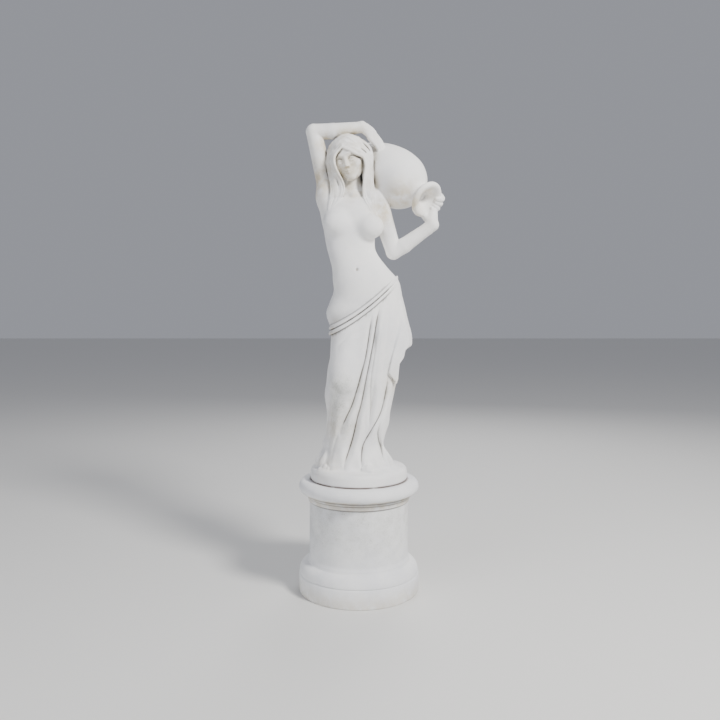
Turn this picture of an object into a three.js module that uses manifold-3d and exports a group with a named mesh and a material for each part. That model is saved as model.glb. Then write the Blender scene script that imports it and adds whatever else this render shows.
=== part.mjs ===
// Garden statue in cast stone: a draped water carrier with a jug on the shoulder, cast in one piece
// with a low round base, standing on a separate round moulded plinth.
// Millimetres, +Z up, the figure looks along -Y. The origin is the centre of the plinth's underside.
import * as THREE from "three";
import { triTable } from "three/addons/objects/MarchingCubes.js";
import { mergeVertices } from "three/addons/utils/BufferGeometryUtils.js";
import Module from "manifold-3d";

const wasm = await Module();
wasm.setup();

const { PI, abs, atan2, cos, exp, floor, hypot, max, min, sin, sqrt } = Math;

// Driving dimensions of the plinth and of the figure's own base
const PLINTH_HEIGHT = 375;
const CAP_RADIUS = 200;
const CAP_THICK = 44;
const DRUM_RADIUS = 166;
const FOOT_RADIUS = 201;
const FOOT_HEIGHT = 62;
const BASE_RADIUS = 161;
const BASE_HEIGHT = 42;
const BASE_TOP = PLINTH_HEIGHT + BASE_HEIGHT;
const ROUND_SIDES = 48;

// The figure's mesh: cell size of the field, and the number of triangles kept
const CELL = 5;
const FIGURE_TRIANGLES = 7000;
const FIGURE_BOX = { low: [-196, -172, PLINTH_HEIGHT + 12], high: [286, 176, 1566] };

// Landmarks of the pose. Left and right are the figure's own, so its right is at -X.
const HEAD = [-31, -9, 1421];
const HEAD_TURN = { yaw: 0.26, roll: 0.25, pitch: 0.16 };
const NECK_BASE = [-20, 10, 1298];
const RIGHT_ARM = { shoulder: [-98, 14, 1306], elbow: [-147, 6, 1516], wrist: [8, 0, 1530] };
const LEFT_ARM = { shoulder: [60, 18, 1304], elbow: [115, 6, 1128], wrist: [226, -16, 1202], heel: [240, -20, 1213] };
const JUG_NECK = [198, 0, 1313];
const JUG_AXIS = [0.69, -0.45, -0.57];
const MOUTH_AXIS = [0.6, -0.62, -0.505];
const KNEE = [-50, -76, 706];
const SHIN = [-54, -64, 660];
const ANKLE = [-66, -40, 470];

// Torso sections: height, centre x, centre y, half width, half depth
const TORSO = [
  [870, 22, 2, 112, 74],
  [925, 20, 2, 127, 82],
  [962, 24, 1, 120, 79],
  [1000, 29, -2, 111, 72],
  [1035, 22, -4, 107, 68],
  [1075, 3, -4, 91, 61],
  [1114, -17, -1, 81, 56],
  [1140, -26, 2, 79, 55],
  [1190, -30, 6, 84, 60],
  [1235, -29, 8, 90, 63],
  [1275, -28, 10, 95, 60],
  [1310, -26, 13, 90, 48],
  [1340, -24, 14, 66, 36],
];
const TORSO_TOP = 1326;
const TORSO_FLOOR = 860;

// Skirt sections below the band: height, centre x, centre y, half width, half depth
const SKIRT = [
  [425, -14, -8, 126, 98],
  [440, -14, -8, 124, 96],
  [458, -14, -8, 112, 92],
  [478, -16, -6, 100, 86],
  [500, -18, -5, 97, 80],
  [520, -11, -4, 97, 78],
  [560, -2, -4, 102, 80],
  [600, 1, -4, 103, 82],
  [658, 3, -4, 112, 84],
  [700, 10, -4, 113, 85],
  [740, 13, -3, 112, 86],
  [780, 22, -2, 114, 88],
  [818, 29, 0, 115, 89],
  [857, 35, 0, 114, 89],
  [890, 35, 0, 112, 89],
  [940, 26, 0, 117, 87],
  [1000, 27, -2, 107, 76],
  [1050, 26, -4, 99, 68],
];
// The band's upper edge is a sagging line across the hips: height at x = 0, slope and sag
const BAND = { height: 940, slope: 0.7, sag: 0.0014, wide: 33, proud: 9 };

// Grooves of the cloth seen from the front: points (x, z) from the top down, depth and half width
const FRONT_FOLDS = [
  { path: [[43, 932], [23, 793], [8, 733], [-10, 668], [-24, 626], [-40, 592], [-60, 548]], deep: 11, wide: 7 },
  { path: [[69, 958], [57, 899], [47, 839], [36, 779], [22, 708], [8, 636], [-4, 592], [-21, 518], [-47, 440]],
    deep: 13, wide: 7 },
  { path: [[62, 905], [52, 800], [40, 721], [38, 621], [32, 560]], deep: 8, wide: 9 },
  { path: [[94, 740], [90, 688], [71, 605], [39, 546], [14, 500], [9, 468], [8, 432]], deep: 11, wide: 7 },
  { path: [[78, 602], [62, 542], [65, 510], [74, 480], [82, 440]], deep: 9, wide: 6 },
  { path: [[100, 985], [92, 880], [82, 770], [72, 670]], deep: 5, wide: 9 },
  { path: [[84, 945], [62, 810], [46, 680], [34, 585]], deep: 4, wide: 8 },
  { path: [[24, 640], [22, 598], [20, 540]], deep: 6, wide: 9 },
  { path: [[62, 894], [-6, 866], [-40, 846], [-66, 822]], deep: 4, wide: 7 },
  { path: [[-70, 690], [-86, 600], [-96, 500], [-110, 440]], deep: 6, wide: 12 },
  { path: [[-44, 640], [-62, 560], [-82, 490], [-92, 436]], deep: 5, wide: 10 },
];
const BACK_FOLDS = { count: 9, deep: 10, wide: 0.14 };
const HEM_WAVE = 3;

// The loose end of the cloth that hangs from the left hip
const FLAP = {
  top: 1036,
  tip: 818,
  proud: 29,
  inner: [[94, 737], [109, 813], [122, 890], [124, 1040]],
  hem: [[80, 742], [95, 737], [112, 712], [126, 694], [132, 762], [146, 781], [151, 804], [180, 822]],
  backHem: [[80, 690], [110, 690], [127, 694], [132, 762], [146, 781], [151, 804], [180, 822]],
};

// Hair on the right and on the left of the parting: locks fan out between the line along the face and the line
// behind it, from the parting to the tips
const HAIR = [
  {
    inner: [[-56, -60, 1452], [-75, -60, 1428], [-78, -57, 1407], [-69, -54, 1379], [-54, -50, 1352], [-47, -44, 1324],
      [-58, -44, 1295], [-80, -44, 1272]],
    outer: [[-44, 24, 1500], [-88, 4, 1476], [-101, -10, 1432], [-100, -18, 1389], [-92, -28, 1349], [-89, -36, 1315],
      [-96, -36, 1289], [-99, -36, 1266]],
  },
  {
    inner: [[-54, -60, 1454], [-36, -65, 1443], [-9, -64, 1431], [14, -54, 1423], [22, -48, 1398], [18, -48, 1361],
      [13, -42, 1321], [18, -40, 1289], [36, -40, 1262]],
    outer: [[-38, 24, 1500], [2, 4, 1492], [34, -8, 1465], [45, -14, 1434], [44, -18, 1402], [42, -22, 1367],
      [48, -28, 1331], [55, -32, 1304], [56, -36, 1272]],
  },
];
const HAIR_LOCKS = 5;
const HAIR_BACK_LOCKS = 6;
const LOCK_FILL = 0.6;
const LOCK_SPANS = 14;
// The hair behind the locks on either side of the neck: from, to, and the radii
const HAIR_SIDES = [
  { from: [-78, -18, 1430], to: [-72, -30, 1306], radii: [20, 14] },
  { from: [24, -18, 1430], to: [36, -22, 1300], radii: [20, 16] },
];

// Vectors and field tools. A field is negative inside the stone, in millimetres.

const minus = (a, b) => [a[0] - b[0], a[1] - b[1], a[2] - b[2]];
const mix = (a, b, t) => a + (b - a) * t;
const clamp01 = (t) => min(1, max(0, t));
const ease = (t) => clamp01(t) ** 2 * (3 - 2 * clamp01(t));

/** Union of two fields with a fillet of about k. */
function blend(a, b, k) {
  const h = max(k - abs(a - b), 0) / k;
  return min(a, b) - (h * h * k) / 4;
}

/** Intersection of two fields with an edge rounded by about k. */
const trim = (a, b, k) => -blend(-a, -b, k);

/** A tapered rod with round ends. */
function limb(p, a, b, ra, rb) {
  const ab = minus(b, a);
  const ap = minus(p, a);
  const t = clamp01((ap[0] * ab[0] + ap[1] * ab[1] + ap[2] * ab[2]) / (ab[0] ** 2 + ab[1] ** 2 + ab[2] ** 2));
  return hypot(ap[0] - t * ab[0], ap[1] - t * ab[1], ap[2] - t * ab[2]) - mix(ra, rb, t);
}

const ball = (p, c, r) => hypot(p[0] - c[0], p[1] - c[1], p[2] - c[2]) - r;

/** An ellipsoid with half axes r. */
function egg(p, c, r) {
  const q = minus(p, c).map((v, i) => v / r[i]);
  const near = hypot(...q);
  const slope = hypot(q[0] / r[0], q[1] / r[1], q[2] / r[2]);
  return slope > 0 ? (near * (near - 1)) / slope : -min(...r);
}

const vector = (p) => new THREE.Vector3(...p);

function rodOf(points, radii) {
  const wide = max(...radii);
  const low = [0, 1, 2].map((i) => min(...points.map((p) => p[i])) - wide);
  const high = [0, 1, 2].map((i) => max(...points.map((p) => p[i])) + wide);
  return { points, radii, low, high };
}

/** A smooth rod along a list of points, with the radii at its root, its middle and its tip. */
function rod(path, [root, middle, tip], spans = 14) {
  const points = new THREE.CatmullRomCurve3(path.map(vector)).getPoints(spans).map((v) => v.toArray());
  const radius = (t) => (t < 0.5 ? mix(root, middle, ease(t * 2)) : mix(middle, tip, (t * 2 - 1) ** 1.5));
  return rodOf(points, points.map((_, i) => radius(i / spans)));
}

/** The field of a rod. Away from the rod it is the distance to the box around it. */
function alongRod(p, { points, radii, low, high }) {
  const margin = 8;
  const gap = hypot(...[0, 1, 2].map((i) => max(low[i] - p[i], p[i] - high[i], 0)));
  if (gap > margin) return gap;
  let near = Infinity;
  for (let i = 1; i < points.length; i++) {
    near = min(near, limb(p, points[i - 1], points[i], radii[i - 1], radii[i]));
  }
  return near;
}

/** Smooth values between the rows of a table whose first column is the height. */
function valuesAt(rows, height) {
  const last = rows.length - 1;
  const z = min(max(height, rows[0][0]), rows[last][0]);
  let i = 0;
  while (i < last - 1 && rows[i + 1][0] < z) i++;
  const [r0, r1, r2, r3] = [rows[max(i - 1, 0)], rows[i], rows[i + 1], rows[min(i + 2, last)]];
  const span = r2[0] - r1[0];
  const t = (z - r1[0]) / span;
  const out = [];
  for (let k = 1; k < r1.length; k++) {
    const m1 = ((r2[k] - r0[k]) / (r2[0] - r0[0])) * span;
    const m2 = ((r3[k] - r1[k]) / (r3[0] - r1[0])) * span;
    const rise = r2[k] - r1[k];
    out.push(r1[k] + t * (m1 + t * (3 * rise - 2 * m1 - m2 + t * (m1 + m2 - 2 * rise))));
  }
  return out;
}

/** A stack of rounded cross sections: the distance to its side, level by level. */
function stack(p, rows, squareness, swell = 0) {
  const [cx, cy, wide, deep] = valuesAt(rows, p[2]);
  const dx = p[0] - cx;
  const dy = p[1] - cy;
  const reach = (abs(dx / wide) ** squareness + abs(dy / deep) ** squareness) ** (1 / squareness);
  const r = hypot(dx, dy);
  return (reach > 0 ? r - r / reach : -min(wide, deep)) - swell;
}

/** A turned local frame: points into it, from the part's frame. */
function localFrame(origin, turn) {
  const matrix = new THREE.Matrix4().makeRotationFromEuler(turn).setPosition(...origin).invert();
  const m = matrix.elements;
  return (p) => [0, 1, 2].map((i) => m[i] * p[0] + m[i + 4] * p[1] + m[i + 8] * p[2] + m[i + 12]);
}

/** Skips a detailed field away from the sphere that holds it. */
function within(centre, radius, field) {
  const margin = 40;
  return (p) => {
    const d = ball(p, centre, radius);
    return d > margin ? d : field(p);
  };
}

// Torso, neck and arms

const torsoField = within([-5, 5, 1110], 300, (p) => {
  let d = trim(trim(stack(p, TORSO, 2.3), p[2] - TORSO_TOP, 40), TORSO_FLOOR - p[2], 20);
  const trapezius = [-22, 22, 1318];
  d = blend(d, limb(p, trapezius, RIGHT_ARM.shoulder, 34, 31), 24);
  d = blend(d, limb(p, trapezius, LEFT_ARM.shoulder, 34, 33), 24);
  for (const breast of [[-73, -40, 1216], [38, -42, 1205]]) d = blend(d, egg(p, breast, [42, 34, 39]), 20);
  d = blend(d, egg(p, [0, -30, 1020], [66, 42, 56]), 30);
  d = blend(d, limb(p, [-88, 6, 1240], RIGHT_ARM.shoulder, 24, 31), 30);
  for (const side of [[-92, 4, 1318], [54, 6, 1310]]) {
    d = blend(d, limb(p, [-20, -34, 1308], side, 6, 7), 12);
  }
  d = trim(d, -limb(p, [-6, -96, 1068], [-6, -64, 1065], 6, 4), 5);
  return blend(d, limb(p, NECK_BASE, [HEAD[0] + 5, HEAD[1] + 13, HEAD[2] - 46], 34, 31), 22);
});

const FINGER_RADIUS = 7.5;

/** A hand from its wrist: palm, four fingers bent by an amount and a thumb, in the frame of its axes. */
function handField({ wrist, along, across, curl, bend, spread, thumbSide }) {
  const at = (u, v, w) => [0, 1, 2].map((i) => wrist[i] + along[i] * u + across[i] * v + curl[i] * w);
  const fingers = [-1.5, -0.5, 0.5, 1.5].map((row) => {
    const v = row * spread;
    const long = 1 - 0.07 * row * row;
    const path = [at(44, v, 0), at(44 + 25 * long, v, 7 * bend), at(44 + (50 - 6 * bend) * long, v, 22 * bend),
      at(44 + (68 - 18 * bend) * long, v, 40 * bend)];
    return rod(path, [FINGER_RADIUS + 1, FINGER_RADIUS, FINGER_RADIUS - 2], 6);
  });
  const thumb = rod([at(8, 14 * thumbSide, 4), at(30, 25 * thumbSide, 12), at(54, 25 * thumbSide, 22)], [10, 9, 6], 5);
  return within(at(50, 0, 12), 90, (p) => {
    let d = limb(p, at(0, 0, 0), at(18, 0, 0), 16, 13);
    d = blend(d, limb(p, at(16, -5, 1), at(46, -spread, 1), 10, 8), 8);
    d = blend(d, limb(p, at(16, 5, 1), at(46, spread, 1), 10, 8), 8);
    for (const finger of fingers) d = blend(d, alongRod(p, finger), 3);
    return blend(d, alongRod(p, thumb), 7);
  });
}

const rightHand = handField({
  wrist: [11, 0, 1533], along: [0.716, 0, -0.698], across: [0.607, 0.455, 0.623], curl: [-0.18, 0.87, -0.46],
  bend: 0.45, spread: 8, thumbSide: 1,
});

const rimUp = new THREE.Vector3(-MOUTH_AXIS[2], 0, MOUTH_AXIS[0]).normalize();
const rimNear = vector(MOUTH_AXIS).cross(rimUp);

/** A point by the jug's mouth: turned from its upper edge, out from its axis, and along it from the neck. */
function atRim(degrees, radius, along) {
  const a = (degrees * PI) / 180;
  return vector(JUG_NECK)
    .addScaledVector(vector(MOUTH_AXIS), along)
    .addScaledVector(rimUp, radius * cos(a))
    .addScaledVector(rimNear, radius * sin(a))
    .toArray();
}

const rimFingers = [-48, -64, -80, -96].map((turn) =>
  rod([atRim(turn + 4, 71, 2), atRim(turn, 70, 24), atRim(turn - 2, 64, 44), atRim(turn - 3, 52, 50),
    atRim(turn - 3, 40, 44)], [10, 9, 7], 8));
const rimThumb = rod([LEFT_ARM.heel, atRim(-126, 58, 18), atRim(-136, 56, 22)], [13, 12, 10], 6);

/** The hand that holds the jug by its rim: palm outside, four fingers over the lip, the thumb below. */
const leftHand = within([240, -5, 1270], 90, (p) => {
  const { heel } = LEFT_ARM;
  let d = blend(limb(p, heel, atRim(-58, 72, 0), 17, 11), limb(p, heel, atRim(-92, 72, 0), 17, 12), 8);
  for (const finger of rimFingers) d = blend(d, alongRod(p, finger), 3);
  return blend(d, alongRod(p, rimThumb), 6);
});

const rightArm = within([-70, 5, 1440], 165, (p) => {
  const { shoulder, elbow, wrist } = RIGHT_ARM;
  const bulge = [-84, 4, 1518];
  let d = limb(p, shoulder, elbow, 31, 25);
  d = blend(d, limb(p, elbow, bulge, 25, 25), 3);
  d = blend(d, limb(p, bulge, wrist, 25, 17), 3);
  return blend(d, rightHand(p), 5);
});

const leftArm = within([150, 0, 1210], 170, (p) => {
  const { shoulder, elbow, wrist, heel } = LEFT_ARM;
  const bulge = [149, 0, 1148];
  let d = limb(p, shoulder, elbow, 34, 25);
  d = blend(d, limb(p, elbow, bulge, 25, 25), 4);
  d = blend(d, limb(p, bulge, wrist, 25, 20), 4);
  d = blend(d, limb(p, wrist, heel, 20, 19), 4);
  return blend(d, leftHand(p), 8);
});

// Head, in its own frame: x to the figure's left, y to the back, z up, the eyes at z = 0

const headFrame = localFrame(HEAD, new THREE.Euler(HEAD_TURN.pitch, -HEAD_TURN.roll, -HEAD_TURN.yaw, "ZYX"));

const brow = rod([[5, -50, 12], [12, -51, 16.5], [22, -48, 18], [33, -37, 13]], [3.2, 3.4, 2.4], 8);

function faceField(q) {
  const side = [abs(q[0]), q[1], q[2]];
  let d = egg(q, [0, 10, 20], [50, 60, 55]);
  d = blend(d, egg(q, [0, -10, -12], [42, 43, 52]), 18);
  d = blend(d, limb(side, [27, -4, -30], [6, -36, -53], 14, 11), 14);
  d = blend(d, ball(side, [25, -31, -14], 15), 14);
  d = trim(d, -egg(side, [19, -57, 0], [14, 9, 9]), 8);
  d = blend(d, alongRod(side, brow), 7);
  d = blend(d, egg(side, [19.5, -42, -1.5], [12, 9.5, 8]), 2);
  d = blend(d, limb(q, [0, -50.5, 11], [0, -61, -18], 3.8, 5.2), 7);
  d = blend(d, ball(side, [5.6, -55, -20], 4.2), 4);
  d = blend(d, egg(q, [0, -40, -37], [18, 14, 14]), 10);
  d = blend(d, limb(side, [0, -54, -33.8], [13, -48.6, -35.4], 3, 1.4), 2);
  d = blend(d, limb(side, [0, -53, -40.4], [11, -48.6, -37.4], 3.6, 1.6), 2);
  return blend(d, ball(q, [0, -41, -54], 11), 9);
}

function hairCapField(q) {
  return trim(egg(q, [0, 14, 26], [57, 64, 59]), -egg(q, [2, -62, -14], [41, 40, 64]), 8);
}

const underHair = (p) => min(hairCapField(headFrame(p)), torsoField(p));

/** A point that is sunk in the head or the body, brought out to its surface, or one that clings, brought down to it. */
function laidOn(point, lift, clings) {
  const step = 0.5;
  const axes = [[step, 0, 0], [0, step, 0], [0, 0, step]];
  let p = point;
  for (let round = 0; round < 4; round++) {
    const here = underHair(p);
    const slope = axes.map((axis) => (underHair(p.map((v, i) => v + axis[i])) - here) / step);
    const steep = max(slope[0] ** 2 + slope[1] ** 2 + slope[2] ** 2, 0.2);
    const move = clings ? lift - here : max(lift - here, 0);
    p = p.map((v, i) => v + (move / steep) * slope[i]);
  }
  return p;
}

/** One lock along a path, with its radius at each point of the path. The place of its tip varies with its number. */
function lockOf(path, radii, number) {
  const last = path.length - 1;
  const tip = vector(path[last - 1]).lerp(vector(path[last]), 1 + 0.25 * sin(number * 2.4));
  const curve = new THREE.CatmullRomCurve3([...path.slice(0, last).map(vector), tip]);
  const points = [];
  const widths = [];
  for (let i = 0; i <= LOCK_SPANS; i++) {
    const t = i / LOCK_SPANS;
    const lift = mix(-3, 2, ease((t - 0.2) / 0.5)) - 2.5 * ease((t - 0.8) / 0.2);
    points.push(laidOn(curve.getPoint(t).toArray(), lift, t > 0.8));
    const k = min(floor(t * last), last - 1);
    const width = mix(radii[k], radii[k + 1], t * last - k);
    widths.push(width * min(1, 0.5 + t * 2.5) * (1 - 0.5 * max(0, t * 4 - 3) ** 2));
  }
  return rodOf(points, widths);
}

function combHair() {
  const locks = [];
  for (const { inner, outer } of HAIR) {
    const apart = inner.map((p, i) => vector(p).distanceTo(vector(outer[i])) / (HAIR_LOCKS - 1));
    for (let i = 0; i < HAIR_LOCKS; i++) {
      const path = inner.map((p, k) => vector(p).lerp(vector(outer[k]), i / (HAIR_LOCKS - 1)).toArray());
      const vary = 1 + 0.2 * sin(i * 4.1);
      const radii = apart.map((gap) => min(max(LOCK_FILL * gap * vary, 4), 11));
      locks.push(lockOf(path, radii, locks.length));
    }
  }
  for (let i = 0; i < HAIR_BACK_LOCKS; i++) {
    const around = mix(0.45, PI - 0.45, i / (HAIR_BACK_LOCKS - 1));
    const c = -cos(around);
    const s = sin(around);
    const path = [[-41 + 12 * c, 14, 1490], [-34 + 58 * c, 10 + 46 * s, 1462], [-30 + 64 * c, 4 + 60 * s, 1410],
      [-28 + 58 * c, 4 + 58 * s, 1360], [-26 + 50 * c, 6 + 60 * s, 1318], [-26 + 40 * c, 8 + 62 * s, 1284]];
    locks.push(lockOf(path, [9, 15, 16, 15, 13, 10], locks.length));
  }
  return locks;
}

const hairLocks = combHair();

const headField = within([-20, 10, 1390], 175, (p) => {
  const q = headFrame(p);
  let hair = hairCapField(q);
  for (const { from, to, radii } of HAIR_SIDES) hair = blend(hair, limb(p, from, to, ...radii), 10);
  for (const lock of hairLocks) hair = blend(hair, alongRod(p, lock), 2);
  return blend(faceField(q), hair, 2);
});

// Jug: a round body with a short neck and a flared mouth, turned about its axis

const JUG_BODY = [
  [-272, 34], [-266, 44], [-235, 62], [-190, 82], [-138, 94], [-100, 95], [-62, 88], [-30, 69], [-9, 46], [6, 37],
];
const JUG_LIP = [[-20, 36], [-8, 40], [4, 39], [12, 40], [24, 50], [34, 60], [48, 61]];
const JUG_MOUTH = { floor: 8, radius: 20, flare: 0.9, throat: 22 };

/** The distance along an axis from the jug's neck, and the distance out from that axis. */
function fromNeck(p, axis) {
  const q = minus(p, JUG_NECK);
  const s = q[0] * axis[0] + q[1] * axis[1] + q[2] * axis[2];
  return [s, sqrt(max(q[0] ** 2 + q[1] ** 2 + q[2] ** 2 - s * s, 0))];
}

/** A turned form from rows of distance along its axis and radius there. */
function turnedField(rows, s, r) {
  const [wide] = valuesAt(rows, s);
  return trim((r - wide) * 0.9, max(rows[0][0] - s, s - rows[rows.length - 1][0]), 16);
}

const jugField = within([110, 30, 1375], 240, (p) => {
  const body = turnedField(JUG_BODY, ...fromNeck(p, JUG_AXIS));
  const [s, r] = fromNeck(p, MOUTH_AXIS);
  const outside = blend(body, turnedField(JUG_LIP, s, r), 10);
  const mouth = r - JUG_MOUTH.radius - JUG_MOUTH.flare * max(s - JUG_MOUTH.throat, 0);
  return trim(outside, -max(mouth * 0.8, JUG_MOUTH.floor - s), 12);
});

// Drapery

const bandHeight = (x) => BAND.height + BAND.slope * x + BAND.sag * x * x;

/** A groove along a path in the front view, deepest on the path, with a low roll on its right. */
function foldAt(p, { path, deep, wide }) {
  const top = path[0][1];
  const end = path[path.length - 1][1];
  if (p[2] > top + 10 || p[2] < end - 10) return 0;
  let i = 1;
  while (i < path.length - 1 && path[i][1] > p[2]) i++;
  const [a, b] = [path[i - 1], path[i]];
  const t = clamp01((a[1] - p[2]) / (a[1] - b[1]));
  const lean = hypot(b[0] - a[0], b[1] - a[1]) / (a[1] - b[1]);
  const d = (p[0] - mix(a[0], b[0], t)) / lean;
  const fade = ease((top - p[2]) / 60) * ease((p[2] - end + 30) / 60);
  const groove = exp(-1.5 * sqrt((d / wide) ** 2 + 0.01));
  const roll = 0.55 * exp(-(((d - 2.4 * wide) / (1.7 * wide)) ** 2)) + 0.3 * exp(-(((d + 2.6 * wide) / (2 * wide)) ** 2));
  return deep * fade * (roll - groove);
}

function backFolds(angle, p) {
  let swell = 0;
  for (let i = 0; i < BACK_FOLDS.count; i++) {
    const centre = PI / 2 + 0.25 + ((i + 0.5) / BACK_FOLDS.count) * (PI - 0.2) + 0.12 * sin(i * 2.4 + p[2] / 190);
    const d = (((angle - centre) % (2 * PI)) + 3 * PI) % (2 * PI) - PI;
    const fade = ease((960 - 40 * (i % 3) - p[2]) / 160);
    swell += BACK_FOLDS.deep * fade * (0.5 * exp(-(((d - 0.17) / 0.11) ** 2)) - exp(-((d / BACK_FOLDS.wide) ** 2)));
  }
  return swell;
}

function legField(p) {
  return blend(limb(p, [-16, -14, 930], KNEE, 70, 47), limb(p, SHIN, ANKLE, 36, 30), 16);
}

/** The height of a polyline at x, or its x at a height when swapped. */
function lineAt(points, key, from = 0) {
  let i = 1;
  while (i < points.length - 1 && points[i][from] < key) i++;
  const [a, b] = [points[i - 1], points[i]];
  return mix(a[1 - from], b[1 - from], clamp01((key - a[from]) / (b[from] - a[from])));
}

function flapField(p) {
  const [cx, cy, wide, deep] = valuesAt(SKIRT, p[2]);
  const angle = atan2((p[0] - cx) / wide, -(p[1] - cy) / deep);
  const hang = clamp01((FLAP.top - p[2]) / (FLAP.top - FLAP.tip));
  const spread = ease((angle - 0.5) / 0.7);
  const pleat = sin(angle * 13) * 3.5 * hang * spread;
  const edge = lineAt(FLAP.inner, p[2], 1);
  const lapped = p[1] < 0 ? ease((p[0] - edge) / mix(5, 22, ease((p[2] - 770) / 130))) : 1;
  const swell = 7 * ease((930 - p[2]) / 110) + (FLAP.proud - 7) * hang * spread + pleat;
  const outer = stack(p, SKIRT, 2.2, swell * lapped);
  const hem = lineAt(angle < PI / 2 ? FLAP.hem : FLAP.backHem, p[0]);
  const inner = trim((edge - p[0]) * 0.9, p[1] - 66, 10);
  return max(trim(outer, (hem - p[2]) * 0.7, 5), inner, p[2] - bandHeight(p[0]));
}

const skirtField = within([10, 0, 720], 420, (p) => {
  const [cx, cy, wide, deep] = valuesAt(SKIRT, p[2]);
  const angle = atan2((p[0] - cx) / wide, -(p[1] - cy) / deep);
  const front = ease((cos(angle) + 0.1) / 0.35);
  let swell = 0;
  for (const fold of FRONT_FOLDS) swell += foldAt(p, fold);
  const hemWaves = HEM_WAVE * sin(angle * 15 + p[2] / 40) * ease((500 - p[2]) / 60);
  swell = swell * front + hemWaves + backFolds(angle < 0 ? angle + 2 * PI : angle, p);
  let d = blend(stack(p, SKIRT, 2.2), legField(p), 20) - swell;
  const below = bandHeight(p[0]) - p[2];
  const slant = 0.82;
  d = blend(d, flapField(p), 4);
  let rolls = 0;
  for (const place of [0.25, 0.75]) {
    const across = (below - place * BAND.wide) / (0.25 * BAND.wide);
    rolls += max(1 - across * across, 0) ** 0.6;
  }
  d -= BAND.proud * rolls * ease((150 - p[0]) / 70);
  return trim(d, -below * slant, 5);
});

// Feet under the hem, and the ground they stand on

const FEET = [
  { heel: [34, -50, 434], toe: [28, -111, 431], side: 1 },
  { heel: [-70, -40, 432], toe: [-108, -74, 427], side: -1 },
];

const feetField = within([-10, -60, 440], 190, (p) => {
  let d = Infinity;
  for (const { heel, toe, side } of FEET) {
    const step = minus(toe, heel);
    const length = hypot(...step);
    const [ux, uy] = [step[0] / length, step[1] / length];
    d = min(d, limb(p, heel, toe, 21, 10));
    for (let i = 0; i < 5; i++) {
      const v = (2 - i) * 7 * side;
      const root = [toe[0] - uy * v, toe[1] + ux * v, toe[2] - 3];
      const reach = 13 - 0.6 * i * i;
      const tip = [root[0] + ux * reach, root[1] + uy * reach, toe[2] - 7];
      d = blend(d, limb(p, root, tip, 6.5, i === 0 ? 5.5 : 4.5), 4);
    }
  }
  return d;
});

function groundField(p) {
  const r = hypot(p[0], p[1]);
  const rise = 14 * ease((BASE_RADIUS - 12 - r) / 70);
  return max(p[2] - BASE_TOP - rise + 3, r - BASE_RADIUS + 9);
}

function figureField(p) {
  const skin = blend(blend(torsoField(p), rightArm(p), 30), leftArm(p), 18);
  const upper = blend(blend(skin, headField(p), 4), jugField(p), 5);
  const lower = blend(skirtField(p), feetField(p), 4);
  return blend(min(upper, lower), groundField(p), 8);
}

// Meshing

/** Closed triangles on the zero level of a field, inside a box of cubic cells. */
function polygonise(field, { low, high }, cell) {
  const count = low.map((v, i) => Math.ceil((high[i] - v) / cell) + 1);
  const [nx, ny, nz] = count;
  const values = new Float32Array(nx * ny * nz).fill(NaN);
  const place = (i, j, k) => [low[0] + i * cell, low[1] + j * cell, low[2] + k * cell];
  const index = (i, j, k) => i + nx * (j + ny * k);
  const block = 6;
  for (let k = 0; k < nz; k += block) {
    for (let j = 0; j < ny; j += block) {
      for (let i = 0; i < nx; i += block) {
        const half = block / 2;
        const middle = field(place(i + half, j + half, k + half));
        const far = abs(middle) > cell * block * 1.9;
        for (let c = k; c < min(k + block, nz); c++) {
          for (let b = j; b < min(j + block, ny); b++) {
            for (let a = i; a < min(i + block, nx); a++) {
              const edge = a === 0 || b === 0 || c === 0 || a === nx - 1 || b === ny - 1 || c === nz - 1;
              const v = far ? middle : field(place(a, b, c));
              values[index(a, b, c)] = edge ? max(v, 1) : v || 1e-3;
            }
          }
        }
      }
    }
  }
  const corner = [[0, 0, 0], [1, 0, 0], [1, 1, 0], [0, 1, 0], [0, 0, 1], [1, 0, 1], [1, 1, 1], [0, 1, 1]];
  const edges = [[0, 1], [1, 2], [3, 2], [0, 3], [4, 5], [5, 6], [7, 6], [4, 7], [0, 4], [1, 5], [2, 6], [3, 7]];
  const vertexOf = new Map();
  const points = [];
  const faces = [];
  for (let k = 0; k < nz - 1; k++) {
    for (let j = 0; j < ny - 1; j++) {
      for (let i = 0; i < nx - 1; i++) {
        const at = corner.map(([a, b, c]) => index(i + a, j + b, k + c));
        let kind = 0;
        for (let n = 0; n < 8; n++) if (values[at[n]] < 0) kind |= 1 << n;
        if (kind === 0 || kind === 255) continue;
        for (let n = kind * 16; triTable[n] >= 0; n += 3) {
          const face = [0, 2, 1].map((m) => {
            const [s, e] = edges[triTable[n + m]];
            const key = at[s] * 4 + corner[e].findIndex((v, axis) => v !== corner[s][axis]);
            if (!vertexOf.has(key)) {
              const t = values[at[s]] / (values[at[s]] - values[at[e]]);
              const from = place(...[i, j, k].map((v, axis) => v + corner[s][axis]));
              points.push(from.map((v, axis) => v + cell * clamp01(t) * (corner[e][axis] - corner[s][axis])));
              vertexOf.set(key, points.length - 1);
            }
            return vertexOf.get(key);
          });
          faces.push(face);
        }
      }
    }
  }
  return { points, faces };
}

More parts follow.
